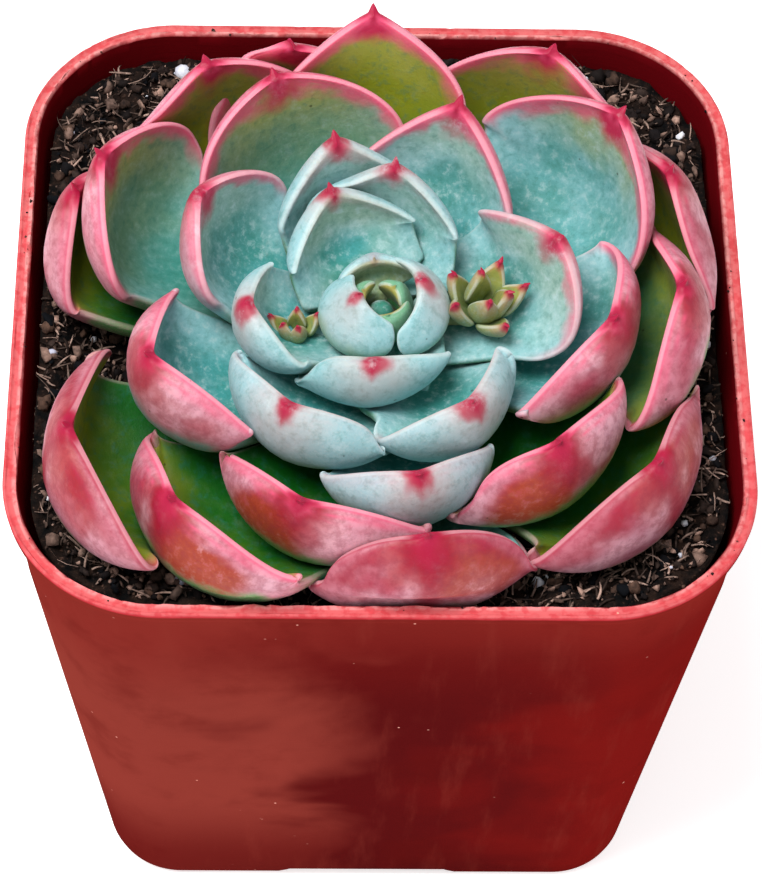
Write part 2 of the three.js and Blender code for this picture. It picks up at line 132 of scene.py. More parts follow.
# %% Node helpers
def add_node(tree, kind, inputs=None, **settings):
    made = tree.nodes.new(kind)
    for key, value in settings.items():
        setattr(made, key, value)
    for key, value in (inputs or {}).items():
        if isinstance(value, bpy.types.NodeSocket):
            tree.links.new(value, made.inputs[key])
        else:
            made.inputs[key].default_value = value
    return made


def math_of(tree, operation, first, second=0.0):
    return add_node(tree, "ShaderNodeMath", {0: first, 1: second}, operation=operation).outputs[0]


def product(tree, first, *others):
    for other in others:
        first = math_of(tree, "MULTIPLY", first, other)
    return first


def fade(tree, value, start, end, low=0.0, high=1.0):
    """Goes smoothly from low to high as the value goes from start to end."""
    inputs = {"Value": value, "From Min": start, "From Max": end, "To Min": low, "To Max": high}
    made = add_node(tree, "ShaderNodeMapRange", inputs, interpolation_type="SMOOTHSTEP")
    return made.outputs["Result"]


def mixed(tree, share, first, second):
    """Mixes two colours; a share of 1 gives the second."""
    made = add_node(tree, "ShaderNodeMix", {0: share, 6: first, 7: second}, data_type="RGBA")
    return made.outputs[2]


def grain(tree, place, size, detail=2.0, rough=0.5, distortion=0.0):
    """Noise whose lumps are about size millimetres across, from 0 to 1."""
    inputs = {"Vector": place, "Scale": 1 / size, "Detail": detail, "Roughness": rough,
              "Distortion": distortion}
    return add_node(tree, "ShaderNodeTexNoise", inputs).outputs["Fac"]


# %% [markdown]
# A finish also has to know where it is on its piece. That is either the place in millimetres or
# numbers that were kept on the mesh when it was made. Effects that have several outputs go in a
# node group, and a material then gives the group its own values.

# %% Places, groups and materials
def millimetres(tree):
    """The place on the object, in millimetres."""
    place = add_node(tree, "ShaderNodeTexCoord").outputs["Object"]
    inputs = {0: place, "Scale": 1 / MM}
    return add_node(tree, "ShaderNodeVectorMath", inputs, operation="SCALE").outputs[0]


def parts_of(tree, name):
    """The three numbers kept in one attribute of the mesh."""
    found = add_node(tree, "ShaderNodeAttribute", attribute_name=name).outputs["Vector"]
    return add_node(tree, "ShaderNodeSeparateXYZ", {0: found}).outputs


def new_group(name, inputs, outputs):
    """An empty node group with its sockets, given as name and (kind, default)."""
    group = bpy.data.node_groups.new(name, "ShaderNodeTree")
    for socket, (kind, default) in inputs.items():
        made = group.interface.new_socket(socket, in_out="INPUT", socket_type=kind)
        if default is not None:
            made.default_value = default
    for socket, kind in outputs.items():
        group.interface.new_socket(socket, in_out="OUTPUT", socket_type=kind)
    return group, add_node(group, "NodeGroupInput").outputs, add_node(group, "NodeGroupOutput")


def new_material(name):
    """A material with a plain Principled surface, and its tree."""
    material = bpy.data.materials.new(name)
    material.use_nodes = True
    return material, material.node_tree, material.node_tree.nodes["Principled BSDF"]


def bumped(tree, surface, height, depth):
    """Gives a surface relief of up to depth millimetres."""
    made = add_node(tree, "ShaderNodeBump", {"Height": height, "Distance": depth * MM})
    tree.links.new(made.outputs[0], surface.inputs["Normal"])


def group_outputs(group, out, **sockets):
    for socket, value in sockets.items():
        group.links.new(value, out.inputs[socket])


FLOAT, COLOR = "NodeSocketFloat", "NodeSocketColor"
SURFACE_SOCKETS = {"Color": COLOR, "Roughness": FLOAT, "Height": FLOAT}

# %% [markdown]
# ## Helpers for meshes
# An operator acts on everything that is selected, so each piece starts with nothing selected.
# Where a primitive's points are then put in their places by a formula, the points are read and
# written all at once through numpy, which is quick even for a thousand grains.

# %% Mesh helpers
def start_fresh():
    bpy.ops.object.select_all(action="DESELECT")


def points_of(piece):
    points = np.empty(len(piece.data.vertices) * 3)
    piece.data.vertices.foreach_get("co", points)
    return points.reshape(-1, 3)


def move_points(piece, points):
    """Puts the piece's points at these places, given in millimetres."""
    piece.data.vertices.foreach_set("co", (np.asarray(points) * MM).ravel())
    piece.data.update()


def keep_numbers(piece, name, numbers):
    """Keeps three numbers for each point, which a material reads by the attribute's name."""
    kept = piece.data.attributes.new(name, "FLOAT_VECTOR", "POINT")
    kept.data.foreach_set("vector", np.asarray(numbers, dtype=np.float32).ravel())


def apply_subdivision(piece, levels):
    start_fresh()
    piece.select_set(True)
    bpy.context.view_layer.objects.active = piece
    finer = piece.modifiers.new("finer", "SUBSURF")
    finer.levels = finer.render_levels = levels
    bpy.ops.object.modifier_apply(modifier=finer.name)


def join_pieces(pieces, name):
    start_fresh()
    for piece in pieces:
        piece.select_set(True)
    bpy.context.view_layer.objects.active = pieces[0]
    bpy.ops.object.join()
    pieces[0].name = name
    return pieces[0]


def shade_smooth(piece):
    start_fresh()
    piece.select_set(True)
    bpy.context.view_layer.objects.active = piece
    bpy.ops.object.shade_smooth()


def finish_piece(piece, material, node=None):
    """Gives a piece its material, hangs it under the root body and hides the node of the frame that it
    replaces.
    """
    piece.data.materials.clear()
    piece.data.materials.append(material)
    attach(piece, "root")
    if node:
        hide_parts(node)


def smoothstep(value, start, end):
    share = np.clip((value - start) / (end - start), 0, 1)
    return share * share * (3 - 2 * share)


def lumps(points, size, seed):
    """Smooth noise from -1 to 1 at each point, with lumps about size millimetres across."""
    shift = Vector((seed * 17.3, seed * -9.1, seed * 5.7))
    values = [noise.noise(Vector(p) / size + shift) for p in points]
    return np.array(values)


# %% [markdown]
# ## The pot
# Such a pot is injection-moulded in polypropylene about a millimetre thick. Its corners are
# rounder at the rim than at the foot, so no single bevel makes them. A circle is extruded upward
# ring by ring instead, and each ring is then shaped to a square with round corners of its own
# radius, up the outside, over the lip and down the inside.

# %% Pot sizes
RIM_HALF = 31.75
RIM_CORNER = 13.5
POT_HEIGHT = 60.0
BASE_HALF = 25.0
BASE_CORNER = 7.0
BEAD_HEIGHT = 1.2
BEAD_STEP = 0.4
WALL = 1.1
FLOOR_TOP = 2.8
CHANNEL_HEIGHT = 1.4
CHANNEL_HALF = 7.5
CHANNEL_SLOPE = 1.6
DRAIN_RADIUS = 2.4
DRAIN_OFFSET = 12.0
OUTLINE_POINTS = 512


def wall_at(z):
    """Half width and corner radius of the outer wall at a height."""
    share = z / POT_HEIGHT
    half = BASE_HALF + (RIM_HALF - BEAD_STEP - BASE_HALF) * share
    return half, BASE_CORNER + (RIM_CORNER - BEAD_STEP - BASE_CORNER) * share


def rounded_square(half, corner, count):
    """Points at even steps round a square with round corners, anticlockwise from +X."""
    flat = 2 * (half - corner)
    arc = corner * math.pi / 2
    side = flat + arc
    steps = (np.arange(count) / count) * 4 * side
    quarter = np.floor(steps / side).astype(int)
    run = steps - quarter * side
    straight = run < flat / 2
    late = run > flat / 2 + arc
    angle = np.clip((run - flat / 2) / corner, 0, math.pi / 2)
    x = np.where(straight, half, np.where(late, 0, half - corner + corner * np.cos(angle)))
    y = np.where(straight, run, np.where(late, half, half - corner + corner * np.sin(angle)))
    x = np.where(late, half - corner - (run - flat / 2 - arc), x)
    turn = quarter * math.pi / 2
    return np.stack([x * np.cos(turn) - y * np.sin(turn), x * np.sin(turn) + y * np.cos(turn)], 1)


print("the pot's wall rises", POT_HEIGHT, "mm and is", WALL, "mm thick")

# %% [markdown]
# The profile says where each ring lies. The lip is a bead that stands out from the wall and falls
# back inward over a thin flash, the ragged skin of plastic that the mould leaves. The flash could
# be a bump in the material, but its nicks show against the dark inside, so it is in the mesh.

# %% Pot profile
def pot_profile():
    """(height, how far inside the outer wall, how ragged the moulding is there)"""
    bead = POT_HEIGHT - BEAD_HEIGHT
    outside = [(0, 1.0, 0), (0.12, 0.5, 0), (0.5, 0.12, 0), (1.2, 0, 0), (12, 0, 0), (30, 0, 0),
               (50.6, 0, 0), (50.8, 0.07, 0), (bead - 0.55, 0.04, 0), (bead - 0.4, 0, 0)]
    lip = [(bead - 0.2, -BEAD_STEP * 0.6, 0.05), (bead, -BEAD_STEP, 0.06),
           (POT_HEIGHT - 0.6, -BEAD_STEP, 0.05), (POT_HEIGHT - 0.35, -BEAD_STEP, 0.05),
           (POT_HEIGHT - 0.14, -BEAD_STEP * 0.8, 0.10),
           (POT_HEIGHT - 0.06, -BEAD_STEP * 0.35, 0.12), (POT_HEIGHT - 0.22, 0.0, 0.05),
           (POT_HEIGHT - 0.25, 0.3, 0.05), (POT_HEIGHT - 0.1, 0.5, 0.55),
           (POT_HEIGHT - 0.08, 0.66, 0.60), (POT_HEIGHT - 0.4, 0.82, 0.12)]
    inside = [(POT_HEIGHT - 1.4, 0.9, 0), (40, 1.0, 0), (20, WALL, 0), (FLOOR_TOP + 2, WALL, 0),
              (FLOOR_TOP + 0.6, WALL + 0.5, 0), (FLOOR_TOP, WALL + 2, 0)]
    return outside + lip + inside


RINGS_OUTSIDE = 16  # rings up to here belong to the outside, those after to the inside
LIP_RINGS = 4  # the lip is less than so many rings away from the last outside ring
print("rings in the pot's profile:", len(pot_profile()))


def ring_points(z, inset, ragged):
    """One outline of the pot; a ragged one wanders and has small nicks, as moulding flash has."""
    half, corner = wall_at(z)
    outline = rounded_square(half - inset, corner - inset, OUTLINE_POINTS)
    points = np.column_stack([outline, np.full(OUTLINE_POINTS, float(z))])
    if ragged:
        coarse = lumps(points, 2.6, 3 + inset)
        fine = lumps(points, 0.7, 8 + inset)
        nick = np.minimum(0, fine + 0.15) * 1.2 + np.minimum(0, coarse) * 0.6
        points[:, 2] += ragged * nick
        points[:, :2] *= 1 - (ragged * 0.35 * coarse / RIM_HALF)[:, None]
    points[:, 2] = np.minimum(points[:, 2], POT_HEIGHT)
    return points


# %% [markdown]
# The shell itself starts as one circle at the foot. Extruding copies every point, so a number kept
# on each point of the circle tells afterwards on which upright line a copied point lies. With the
# ring's number that is enough to put all the points in place at once.

# %% Pot shell
def model_pot():
    start_fresh()
    bpy.ops.mesh.primitive_circle_add(vertices=OUTLINE_POINTS, radius=RIM_HALF * MM)
    pot = bpy.context.object
    pot.name = "pot_shell"
    spokes = pot.data.attributes.new("spoke", "INT", "POINT")
    spokes.data.foreach_set("value", np.arange(OUTLINE_POINTS, dtype=np.int32))
    profile = pot_profile()
    bpy.ops.object.mode_set(mode="EDIT")
    bpy.ops.mesh.select_mode(type="EDGE")
    bpy.ops.mesh.select_all(action="SELECT")
    for _ in profile[1:]:
        bpy.ops.mesh.extrude_edges_move(TRANSFORM_OT_translate={"value": (0, 0, MM)})
    bpy.ops.object.mode_set(mode="OBJECT")
    spoke = np.empty(len(pot.data.vertices), dtype=np.int32)
    pot.data.attributes["spoke"].data.foreach_get("value", spoke)
    ring = np.arange(len(spoke)) // OUTLINE_POINTS
    outlines = np.array([ring_points(*step) for step in profile])
    move_points(pot, outlines[ring, spoke])
    inside = ring > RINGS_OUTSIDE
    on_lip = np.abs(ring - RINGS_OUTSIDE) < LIP_RINGS
    rolled_over = ring > RINGS_OUTSIDE + 1
    crest = np.where(rolled_over, 1, 0.4) * (ring > RINGS_OUTSIDE - LIP_RINGS + 1) * on_lip
    keep_numbers(pot, "pot_place", np.column_stack([inside, on_lip, crest]))
    bpy.ops.object.mode_set(mode="EDIT")
    bpy.ops.mesh.select_all(action="SELECT")
    bpy.ops.mesh.fill_holes(sides=0)
    bpy.ops.mesh.select_all(action="SELECT")
    bpy.ops.mesh.normals_make_consistent(inside=False)
    bpy.ops.object.mode_set(mode="OBJECT")
    return pot


pot = model_pot()
print("pot shell:", len(pot.data.vertices), "points,", len(pot.data.polygons), "faces")

# %% [markdown]
# Underneath, two crossed channels leave four corner feet, and five drain holes go through the
# floor. Both are cut with boolean modifiers: the cutters are primitives, the channel's narrowed
# at the top by moving its points, and each is removed once its cut is applied.

# %% Cuts in the pot
def cut_with(piece, cutter):
    cut = piece.modifiers.new("cut", "BOOLEAN")
    cut.operation = "DIFFERENCE"
    cut.solver = "EXACT"
    cut.object = cutter
    bpy.context.view_layer.objects.active = piece
    bpy.ops.object.modifier_apply(modifier=cut.name)
    bpy.data.objects.remove(cutter)


def add_channel(turn):
    start_fresh()
    foot = CHANNEL_HALF + CHANNEL_SLOPE
    bpy.ops.mesh.primitive_cube_add(size=2, scale=(foot * MM, RIM_HALF * MM, CHANNEL_HEIGHT * MM / 2),
                                    location=(0, 0, CHANNEL_HEIGHT * MM / 2))
    channel = bpy.context.object
    bpy.ops.object.transform_apply()
    points = points_of(channel) / MM
    top = points[:, 2] > CHANNEL_HEIGHT / 2
    points[top, 0] *= CHANNEL_HALF / foot
    points[~top, 2] = -1.0
    points[~top, 0] *= (foot + CHANNEL_SLOPE / CHANNEL_HEIGHT) / foot
    turned = points.copy()
    turned[:, 0] = points[:, 0] * math.cos(turn) - points[:, 1] * math.sin(turn)
    turned[:, 1] = points[:, 0] * math.sin(turn) + points[:, 1] * math.cos(turn)
    move_points(channel, turned)
    return channel


def add_drain(x, y):
    start_fresh()
    bpy.ops.mesh.primitive_cylinder_add(vertices=48, radius=DRAIN_RADIUS * MM,
                                        depth=4 * FLOOR_TOP * MM, location=(x * MM, y * MM, 0))
    return bpy.context.object


for turn in (0, math.pi / 2):
    cut_with(pot, add_channel(turn))
for x, y in ((0, 0), (DRAIN_OFFSET, 0), (-DRAIN_OFFSET, 0), (0, DRAIN_OFFSET), (0, -DRAIN_OFFSET)):
    cut_with(pot, add_drain(x, y))
start_fresh()
pot.select_set(True)
bpy.context.view_layer.objects.active = pot
bpy.ops.object.shade_smooth_by_angle(angle=math.radians(40))
print("pot with its cuts:", len(pot.data.polygons), "faces")

# %% [markdown]
# The plastic is terracotta red and slightly glossy. Where the moist soil lies against the thin
# wall it looks deeper and redder, elsewhere it is browner and scuffed. The lip's coral is painted
# light, for the light that the lip catches. All of it follows the place on the pot, read in millimetres.

# %% Pot colours
POT_COLORS = {
    "dry foot": (0.140, 0.012, 0.010, 1),
    "dry": (0.245, 0.036, 0.026, 1),
    "wet": (0.092, 0.0055, 0.0060, 1),
    "wet in the light": (0.180, 0.0078, 0.0066, 1),
    "under the lip": (0.200, 0.0110, 0.0095, 1),
    "streak": (0.240, 0.034, 0.024, 1),
    "stain": (0.110, 0.006, 0.005, 1),
    "inside": (0.120, 0.0025, 0.005, 1),
    "lip": (0.52, 0.028, 0.040, 1),
    "chalky lip": (0.62, 0.052, 0.066, 1),
    "crest": (0.76, 0.250, 0.250, 1),
    "far crest": (0.74, 0.300, 0.290, 1),
    "speck": (0.78, 0.34, 0.27, 1),
}


def wall_color(group, place, broad):
    """Dry scuffed plastic on the left, deeper where the moist soil lies against the wall, with painted
    light on the wet wall towards the right.
    """
    tone = POT_COLORS
    x, _, z = add_node(group, "ShaderNodeSeparateXYZ", {0: place}).outputs
    drift = math_of(group, "ADD", x, fade(group, broad, 0.25, 0.75, -7, 7))
    damp = product(group, fade(group, drift, -15, 1), fade(group, z, 59, 48, 0.55, 1))
    dry = mixed(group, fade(group, z, 4, 20), tone["dry foot"], tone["dry"])
    # painted light: the wet wall is given a lighter red towards the right
    wet = mixed(group, fade(group, drift, 3, 26), tone["wet"], tone["wet in the light"])
    color = mixed(group, damp, dry, wet)
    color = mixed(group, fade(group, z, 38, 56, 0, 0.5), color, tone["under the lip"])
    stretched = add_node(group, "ShaderNodeMapping", {"Vector": place, "Scale": (1, 1, 0.12)})
    streaks = grain(group, stretched.outputs[0], 2.4, detail=4, rough=0.6)
    color = mixed(group, fade(group, streaks, 0.50, 0.80, 0, 0.30), color, tone["streak"])
    blotch = grain(group, place, 9, detail=4, rough=0.6)
    return mixed(group, fade(group, blotch, 0.50, 0.75, 0, 0.40), color, tone["stain"])


# %% [markdown]
# The lip is paler along its crest, in patches, and a few chips of bare plastic lie in clusters on
# the wall. Both are masks: the crest's was kept on the mesh, and the chips are the cores of Voronoi
# cells, let through only where a broader noise is high.

# %% Lip and specks
def lip_color(group, place, color):
    """The inside darkened with painted shade, the lip's coral painted light, and its paler crest."""
    tone = POT_COLORS
    inside, on_lip, crest = parts_of(group, "pot_place")
    # painted shade: the inside of the pot is given a darker red than the wall
    color = mixed(group, inside, color, tone["inside"])
    chalk = fade(group, grain(group, place, 1.6, detail=4), 0.30, 0.70)
    # painted light: the lip is given a lighter coral than the wall
    color = mixed(group, on_lip, color, mixed(group, chalk, tone["lip"], tone["chalky lip"]))
    y = add_node(group, "ShaderNodeSeparateXYZ", {0: place}).outputs["Y"]
    pale = mixed(group, fade(group, y, -22, 20), tone["crest"], tone["far crest"])
    crest_patches = fade(group, grain(group, place, 0.7, detail=3), 0.36, 0.60, 0.35, 1)
    return mixed(group, product(group, crest, crest_patches), color, pale)


def specked_color(group, place, color):
    specks = add_node(group, "ShaderNodeTexVoronoi", {"Vector": place, "Scale": 0.55})
    clusters = fade(group, grain(group, place, 6), 0.56, 0.66)
    speck = product(group, fade(group, specks.outputs["Distance"], 0.075, 0.045), clusters)
    return mixed(group, speck, color, POT_COLORS["speck"])


# %% [markdown]
# Fine grain and slanting scratches roughen the gloss and give the wall its slight relief. The
# three results leave the group, and the Principled surface stays in the material, where the
# export can read it.

# %% Pot plastic
def plastic_group():
    group, _, out = new_group("moulded plastic", {}, SURFACE_SOCKETS)
    place = millimetres(group)
    broad = grain(group, place, 14, detail=3, rough=0.55, distortion=0.4)
    color = lip_color(group, place, wall_color(group, place, broad))
    color = specked_color(group, place, color)
    fine = grain(group, place, 0.35, detail=4, rough=0.7)
    scratches = add_node(group, "ShaderNodeMapping", {
        "Vector": place, "Scale": (0.12, 0.12, 3.0), "Rotation": (0.35, 0.2, 0)})
    scratch = grain(group, scratches.outputs[0], 1.2, detail=5, rough=0.75)
    rough = math_of(group, "ADD", fade(group, broad, 0.3, 0.7, 0.42, 0.54),
                    fade(group, scratch, 0.5, 0.8, 0, 0.18))
    height = math_of(group, "ADD", product(group, fine, 0.5), scratch)
    group_outputs(group, out, Color=color, Roughness=rough, Height=height)
    return group


def plastic_material():
    material, tree, surface = new_material("terracotta plastic")
    made = add_node(tree, "ShaderNodeGroup", node_tree=plastic_group())
    tree.links.new(made.outputs["Color"], surface.inputs["Base Color"])
    tree.links.new(made.outputs["Roughness"], surface.inputs["Roughness"])
    surface.inputs["Specular IOR Level"].default_value = 0.0
    bumped(tree, surface, made.outputs["Height"], 0.035)
    print("nodes in the plastic:", len(made.node_tree.nodes))
    return material


finish_piece(pot, plastic_material(), "pot")

# %% [markdown]
# ## The soil
# The mix is moist, near-black peat that lies a little higher along the walls. Its surface is a
# fine grid that is pulled to the pot's outline and raised by several sizes of noise. The border
# is then extruded down the walls and filled at the floor, so that the soil is one closed body.

# %% Soil sizes and height
AXIS = np.array([-0.3, -4.5, 0.0])  # the rosette's upright axis, and the soil's lowest place
SOIL_LEVEL = 53.6
SOIL_BANK = 1.5
BANK_FOOT = 20.0
BANK_TOP = 31.0
SOIL_CRUMB = 0.55
GAP = 0.3
HEAP = 2.6  # the loose top layer lies this much higher along the wall than the solid soil
SOIL_STEPS = 200
SOIL_SUNK = 0.2  # the body lies a little lower, so that the crumbs make the surface
SOIL_HALF, SOIL_CORNER = (value - WALL - GAP for value in wall_at(SOIL_LEVEL + 2))
SOIL_RELIEF = ((0.40, 2.6), (0.30, 1.1), (0.18, 0.5))  # height and size of its lumps
print("the soil reaches", round(SOIL_HALF, 2), "mm from the middle to its sides")


def soil_height(x, y):
    """Height of the soil without its fine relief: as in the solid model, and heaped at the wall."""
    far = np.hypot(x - AXIS[0], y - AXIS[1])
    broad = np.sin(x * 0.61 + 1.3) * np.cos(y * 0.53 - 0.4)
    fine = np.sin(x * 1.37 + y * 1.11) * np.cos(y * 1.73 - x * 0.67 + 0.9)
    bank = SOIL_BANK * smoothstep(far, BANK_FOOT, BANK_TOP)
    heap = HEAP * smoothstep(inside_reach(x, y, SOIL_HALF, SOIL_CORNER), 0.78, 0.98)
    return SOIL_LEVEL + bank + heap + SOIL_CRUMB * 0.5 * (broad + fine)


def inside_reach(x, y, half, corner):
    """How far a place lies from the middle: 0 there and 1 on a rounded square's outline."""
    u, v = np.abs(x), np.abs(y)
    core = half - corner
    flat = np.maximum(u, v) / half
    along = u * core + v * core
    squares = u * u + v * v
    root = np.sqrt(np.maximum(along ** 2 - squares * (2 * core ** 2 - corner ** 2), 0))
    round_share = squares / np.maximum(along + root, 1e-9)
    in_corner = (u / np.maximum(flat, 1e-9) > core) & (v / np.maximum(flat, 1e-9) > core)
    return np.where(in_corner, round_share, flat)


# %% [markdown]
# A real surface of peat has no two places alike, so three sizes of noise are added to the grid's
# height. A sculpted or displaced plane would do as well; reading the height from a formula also
# tells every crumb that is strewn later how high it has to lie.

# %% Soil body
def model_soil():
    start_fresh()
    bpy.ops.mesh.primitive_grid_add(x_subdivisions=SOIL_STEPS, y_subdivisions=SOIL_STEPS, size=2)
    soil = bpy.context.object
    soil.name = "soil_body"
    half, corner = SOIL_HALF, SOIL_CORNER
    points = points_of(soil) * half
    share = np.maximum(np.abs(points[:, 0]), np.abs(points[:, 1])) / half
    reach = inside_reach(points[:, 0], points[:, 1], half, corner)
    points[:, :2] *= np.where(share > 0, share / np.maximum(reach, 1e-9), 1)[:, None]
    relief = sum(high * lumps(points, size, seed)
                 for seed, (high, size) in enumerate(SOIL_RELIEF, start=1))
    points[:, 2] = soil_height(points[:, 0], points[:, 1]) + relief - SOIL_SUNK
    move_points(soil, points)
    bpy.ops.object.mode_set(mode="EDIT")
    bpy.ops.mesh.select_mode(type="VERT")
    bpy.ops.mesh.select_all(action="DESELECT")
    bpy.ops.mesh.select_non_manifold()
    bpy.ops.mesh.extrude_edges_move(TRANSFORM_OT_translate={"value": (0, 0, 0)})
    bpy.ops.object.mode_set(mode="OBJECT")
    low = np.array([v.select for v in soil.data.vertices])
    points = points_of(soil) / MM
    floor_half, _ = wall_at(FLOOR_TOP)
    points[low, :2] *= (floor_half - WALL - GAP) / half
    points[low, 2] = FLOOR_TOP + GAP
    move_points(soil, points)
    bpy.ops.object.mode_set(mode="EDIT")
    bpy.ops.mesh.edge_face_add()
    bpy.ops.mesh.select_all(action="SELECT")
    bpy.ops.mesh.normals_make_consistent(inside=False)
    bpy.ops.object.mode_set(mode="OBJECT")
    shade_smooth(soil)
    return soil


# %% [markdown]
# Between the crumbs the body itself shows, nearly black: it is wet, and its darkest colour is
# painted shade of the gaps. Two sizes of noise mix its browns, and a bump adds the grain that is
# too fine for the mesh.

# %% Peat
PEAT_COLORS = {
    # painted shade: the bluish near-black of the gaps between the crumbs
    "wet": (0.0015, 0.0020, 0.0025, 1),
    "moist": (0.026, 0.014, 0.010, 1),
    "fleck": (0.13, 0.07, 0.05, 1),
}


def soil_material():
    material, tree, surface = new_material("moist peat")
    place = millimetres(tree)
    coarse = grain(tree, place, 1.6, detail=5, rough=0.65)
    color = mixed(tree, fade(tree, coarse, 0.35, 0.72), PEAT_COLORS["wet"], PEAT_COLORS["moist"])
    flecks = grain(tree, place, 0.4, detail=3, rough=0.6)
    color = mixed(tree, fade(tree, flecks, 0.60, 0.76), color, PEAT_COLORS["fleck"])
    tree.links.new(color, surface.inputs["Base Color"])
    surface.inputs["Roughness"].default_value = 0.85
    surface.inputs["Specular IOR Level"].default_value = 0.1
    bumped(tree, surface, grain(tree, place, 0.5, detail=4, rough=0.7), 0.35)
    return material


soil = model_soil()
finish_piece(soil, soil_material(), "soil")
print("soil:", len(soil.data.polygons), "faces")

# %% [markdown]
# ### Crumbs, fibres and perlite
# What makes soil look real is what lies loose on it. Each kind of grain is modelled once, as a
# small primitive, and copied hundreds of times. Every copy is turned, sized and dented by its
# own random draw from one seeded generator, and the copies of one kind form one mesh.

# %% Scattering
chance = np.random.default_rng(23)
LEAF_COVER = 15.0  # nothing is strewn nearer to the stem, under the leaves
LIP_MIDDLE = 0.85  # how far the middle of the lip's flat top lies inside the rim


def strewn_places(count, margin=0.6):
    """Random places on the soil's open surface."""
    found = []
    while len(found) < count:
        x, y = chance.uniform(-SOIL_HALF, SOIL_HALF, 2)
        clear = inside_reach(x, y, SOIL_HALF - margin, SOIL_CORNER) < 1
        if clear and math.hypot(x - AXIS[0], y - AXIS[1]) > LEAF_COVER:
            found.append((x, y))
    return np.array(found)


def places_on_lip(count):
    """Random places on the flat top of the pot's lip."""
    outline = rounded_square(RIM_HALF - LIP_MIDDLE, RIM_CORNER - LIP_MIDDLE, OUTLINE_POINTS)
    places = outline[chance.integers(0, OUTLINE_POINTS, count)]
    return places * chance.uniform(0.985, 1.008, (count, 1))


# %% [markdown]
# Crumbs, chips and perlite are all lumps: one small round primitive, dented by noise, squeezed,
# turned and set down. Particles would scatter copies too, but they stay copies of one object, and
# here each grain has a shape and a tone of its own.

# %% Lumps
def random_turn():
    """A rotation that turns a copy any way at all."""
    a = chance.normal(size=4)
    w, x, y, z = a / np.linalg.norm(a)
    return np.array([[1 - 2 * (y * y + z * z), 2 * (x * y - z * w), 2 * (x * z + y * w)],
                     [2 * (x * y + z * w), 1 - 2 * (x * x + z * z), 2 * (y * z - x * w)],
                     [2 * (x * z - y * w), 2 * (y * z + x * w), 1 - 2 * (x * x + y * y)]])


def mesh_of_copies(name, shape, copies, tones):
    """One piece made of many copies of a modelled shape, each given as its own points."""
    faces = np.array([list(face.vertices) for face in shape.data.polygons])
    count = len(shape.data.vertices)
    all_faces = np.concatenate([faces + i * count for i in range(len(copies))])
    mesh = bpy.data.meshes.new(name)
    mesh.from_pydata((np.concatenate(copies) * MM).tolist(), [], all_faces.tolist())
    piece = bpy.data.objects.new(name, mesh)
    bpy.context.scene.collection.objects.link(piece)
    tone = np.repeat(np.asarray(tones, dtype=float), count)
    keep_numbers(piece, "grain_tone", np.column_stack([tone, tone, tone]))
    bpy.data.objects.remove(shape)
    shade_smooth(piece)
    return piece


MOSTLY_SMALL = 2.2
DENT_SIZE = 0.9
LIES_AT = (-0.1, 0.6)  # a grain's middle over the ground, in shares of its size


def add_lump(subdivisions):
    start_fresh()
    bpy.ops.mesh.primitive_ico_sphere_add(subdivisions=subdivisions, radius=1)
    return bpy.context.object


def strew_lumps(name, subdivisions, places, low, high, dent, flat=0.7, long=1.2, height=soil_height):
    """Dented grains whose radius lies between low and high, mostly near low; flat and long are
    the least and the most that a grain is squeezed or drawn out."""
    shape = add_lump(subdivisions)
    unit = points_of(shape)
    copies = []
    for i, (x, y) in enumerate(places):
        size = low + (high - low) * chance.random() ** MOSTLY_SMALL
        squeeze = chance.uniform(flat, long, 3)
        bumps = 1 + dent * lumps(unit, DENT_SIZE, 50 + i)
        grown = (unit * bumps[:, None] * squeeze) @ random_turn().T * size
        z = height(x, y) + size * chance.uniform(*LIES_AT)
        copies.append(grown + np.array([x, y, z]))
    return mesh_of_copies(name, shape, copies, chance.random(len(places)))


# %% [markdown]
# Peat is full of short brown strands, and a few pale root hairs lie across it. A curve with a round
# bevel would give a strand too, but its mesh can't be shared or joined as simply: one thin stick
# is cut in steps, and each copy's steps follow an arc over the ground.

# %% Fibres
FIBRE_STEPS = 5
FIBRE_TAPER = 0.6
FIBRE_FLATNESS = 0.6


def add_fibre():
    """A four-sided stick of length 1 along X, cut across at even steps."""
    start_fresh()
    bpy.ops.mesh.primitive_cylinder_add(vertices=4, radius=1, depth=1, rotation=(0, math.pi / 2, 0))
    bpy.ops.object.transform_apply()
    bpy.ops.object.mode_set(mode="EDIT")
    for i in range(1, FIBRE_STEPS):
        bpy.ops.mesh.select_all(action="SELECT")
        bpy.ops.mesh.bisect(plane_co=(i / FIBRE_STEPS - 0.5, 0, 0), plane_no=(1, 0, 0))
    bpy.ops.object.mode_set(mode="OBJECT")
    return bpy.context.object


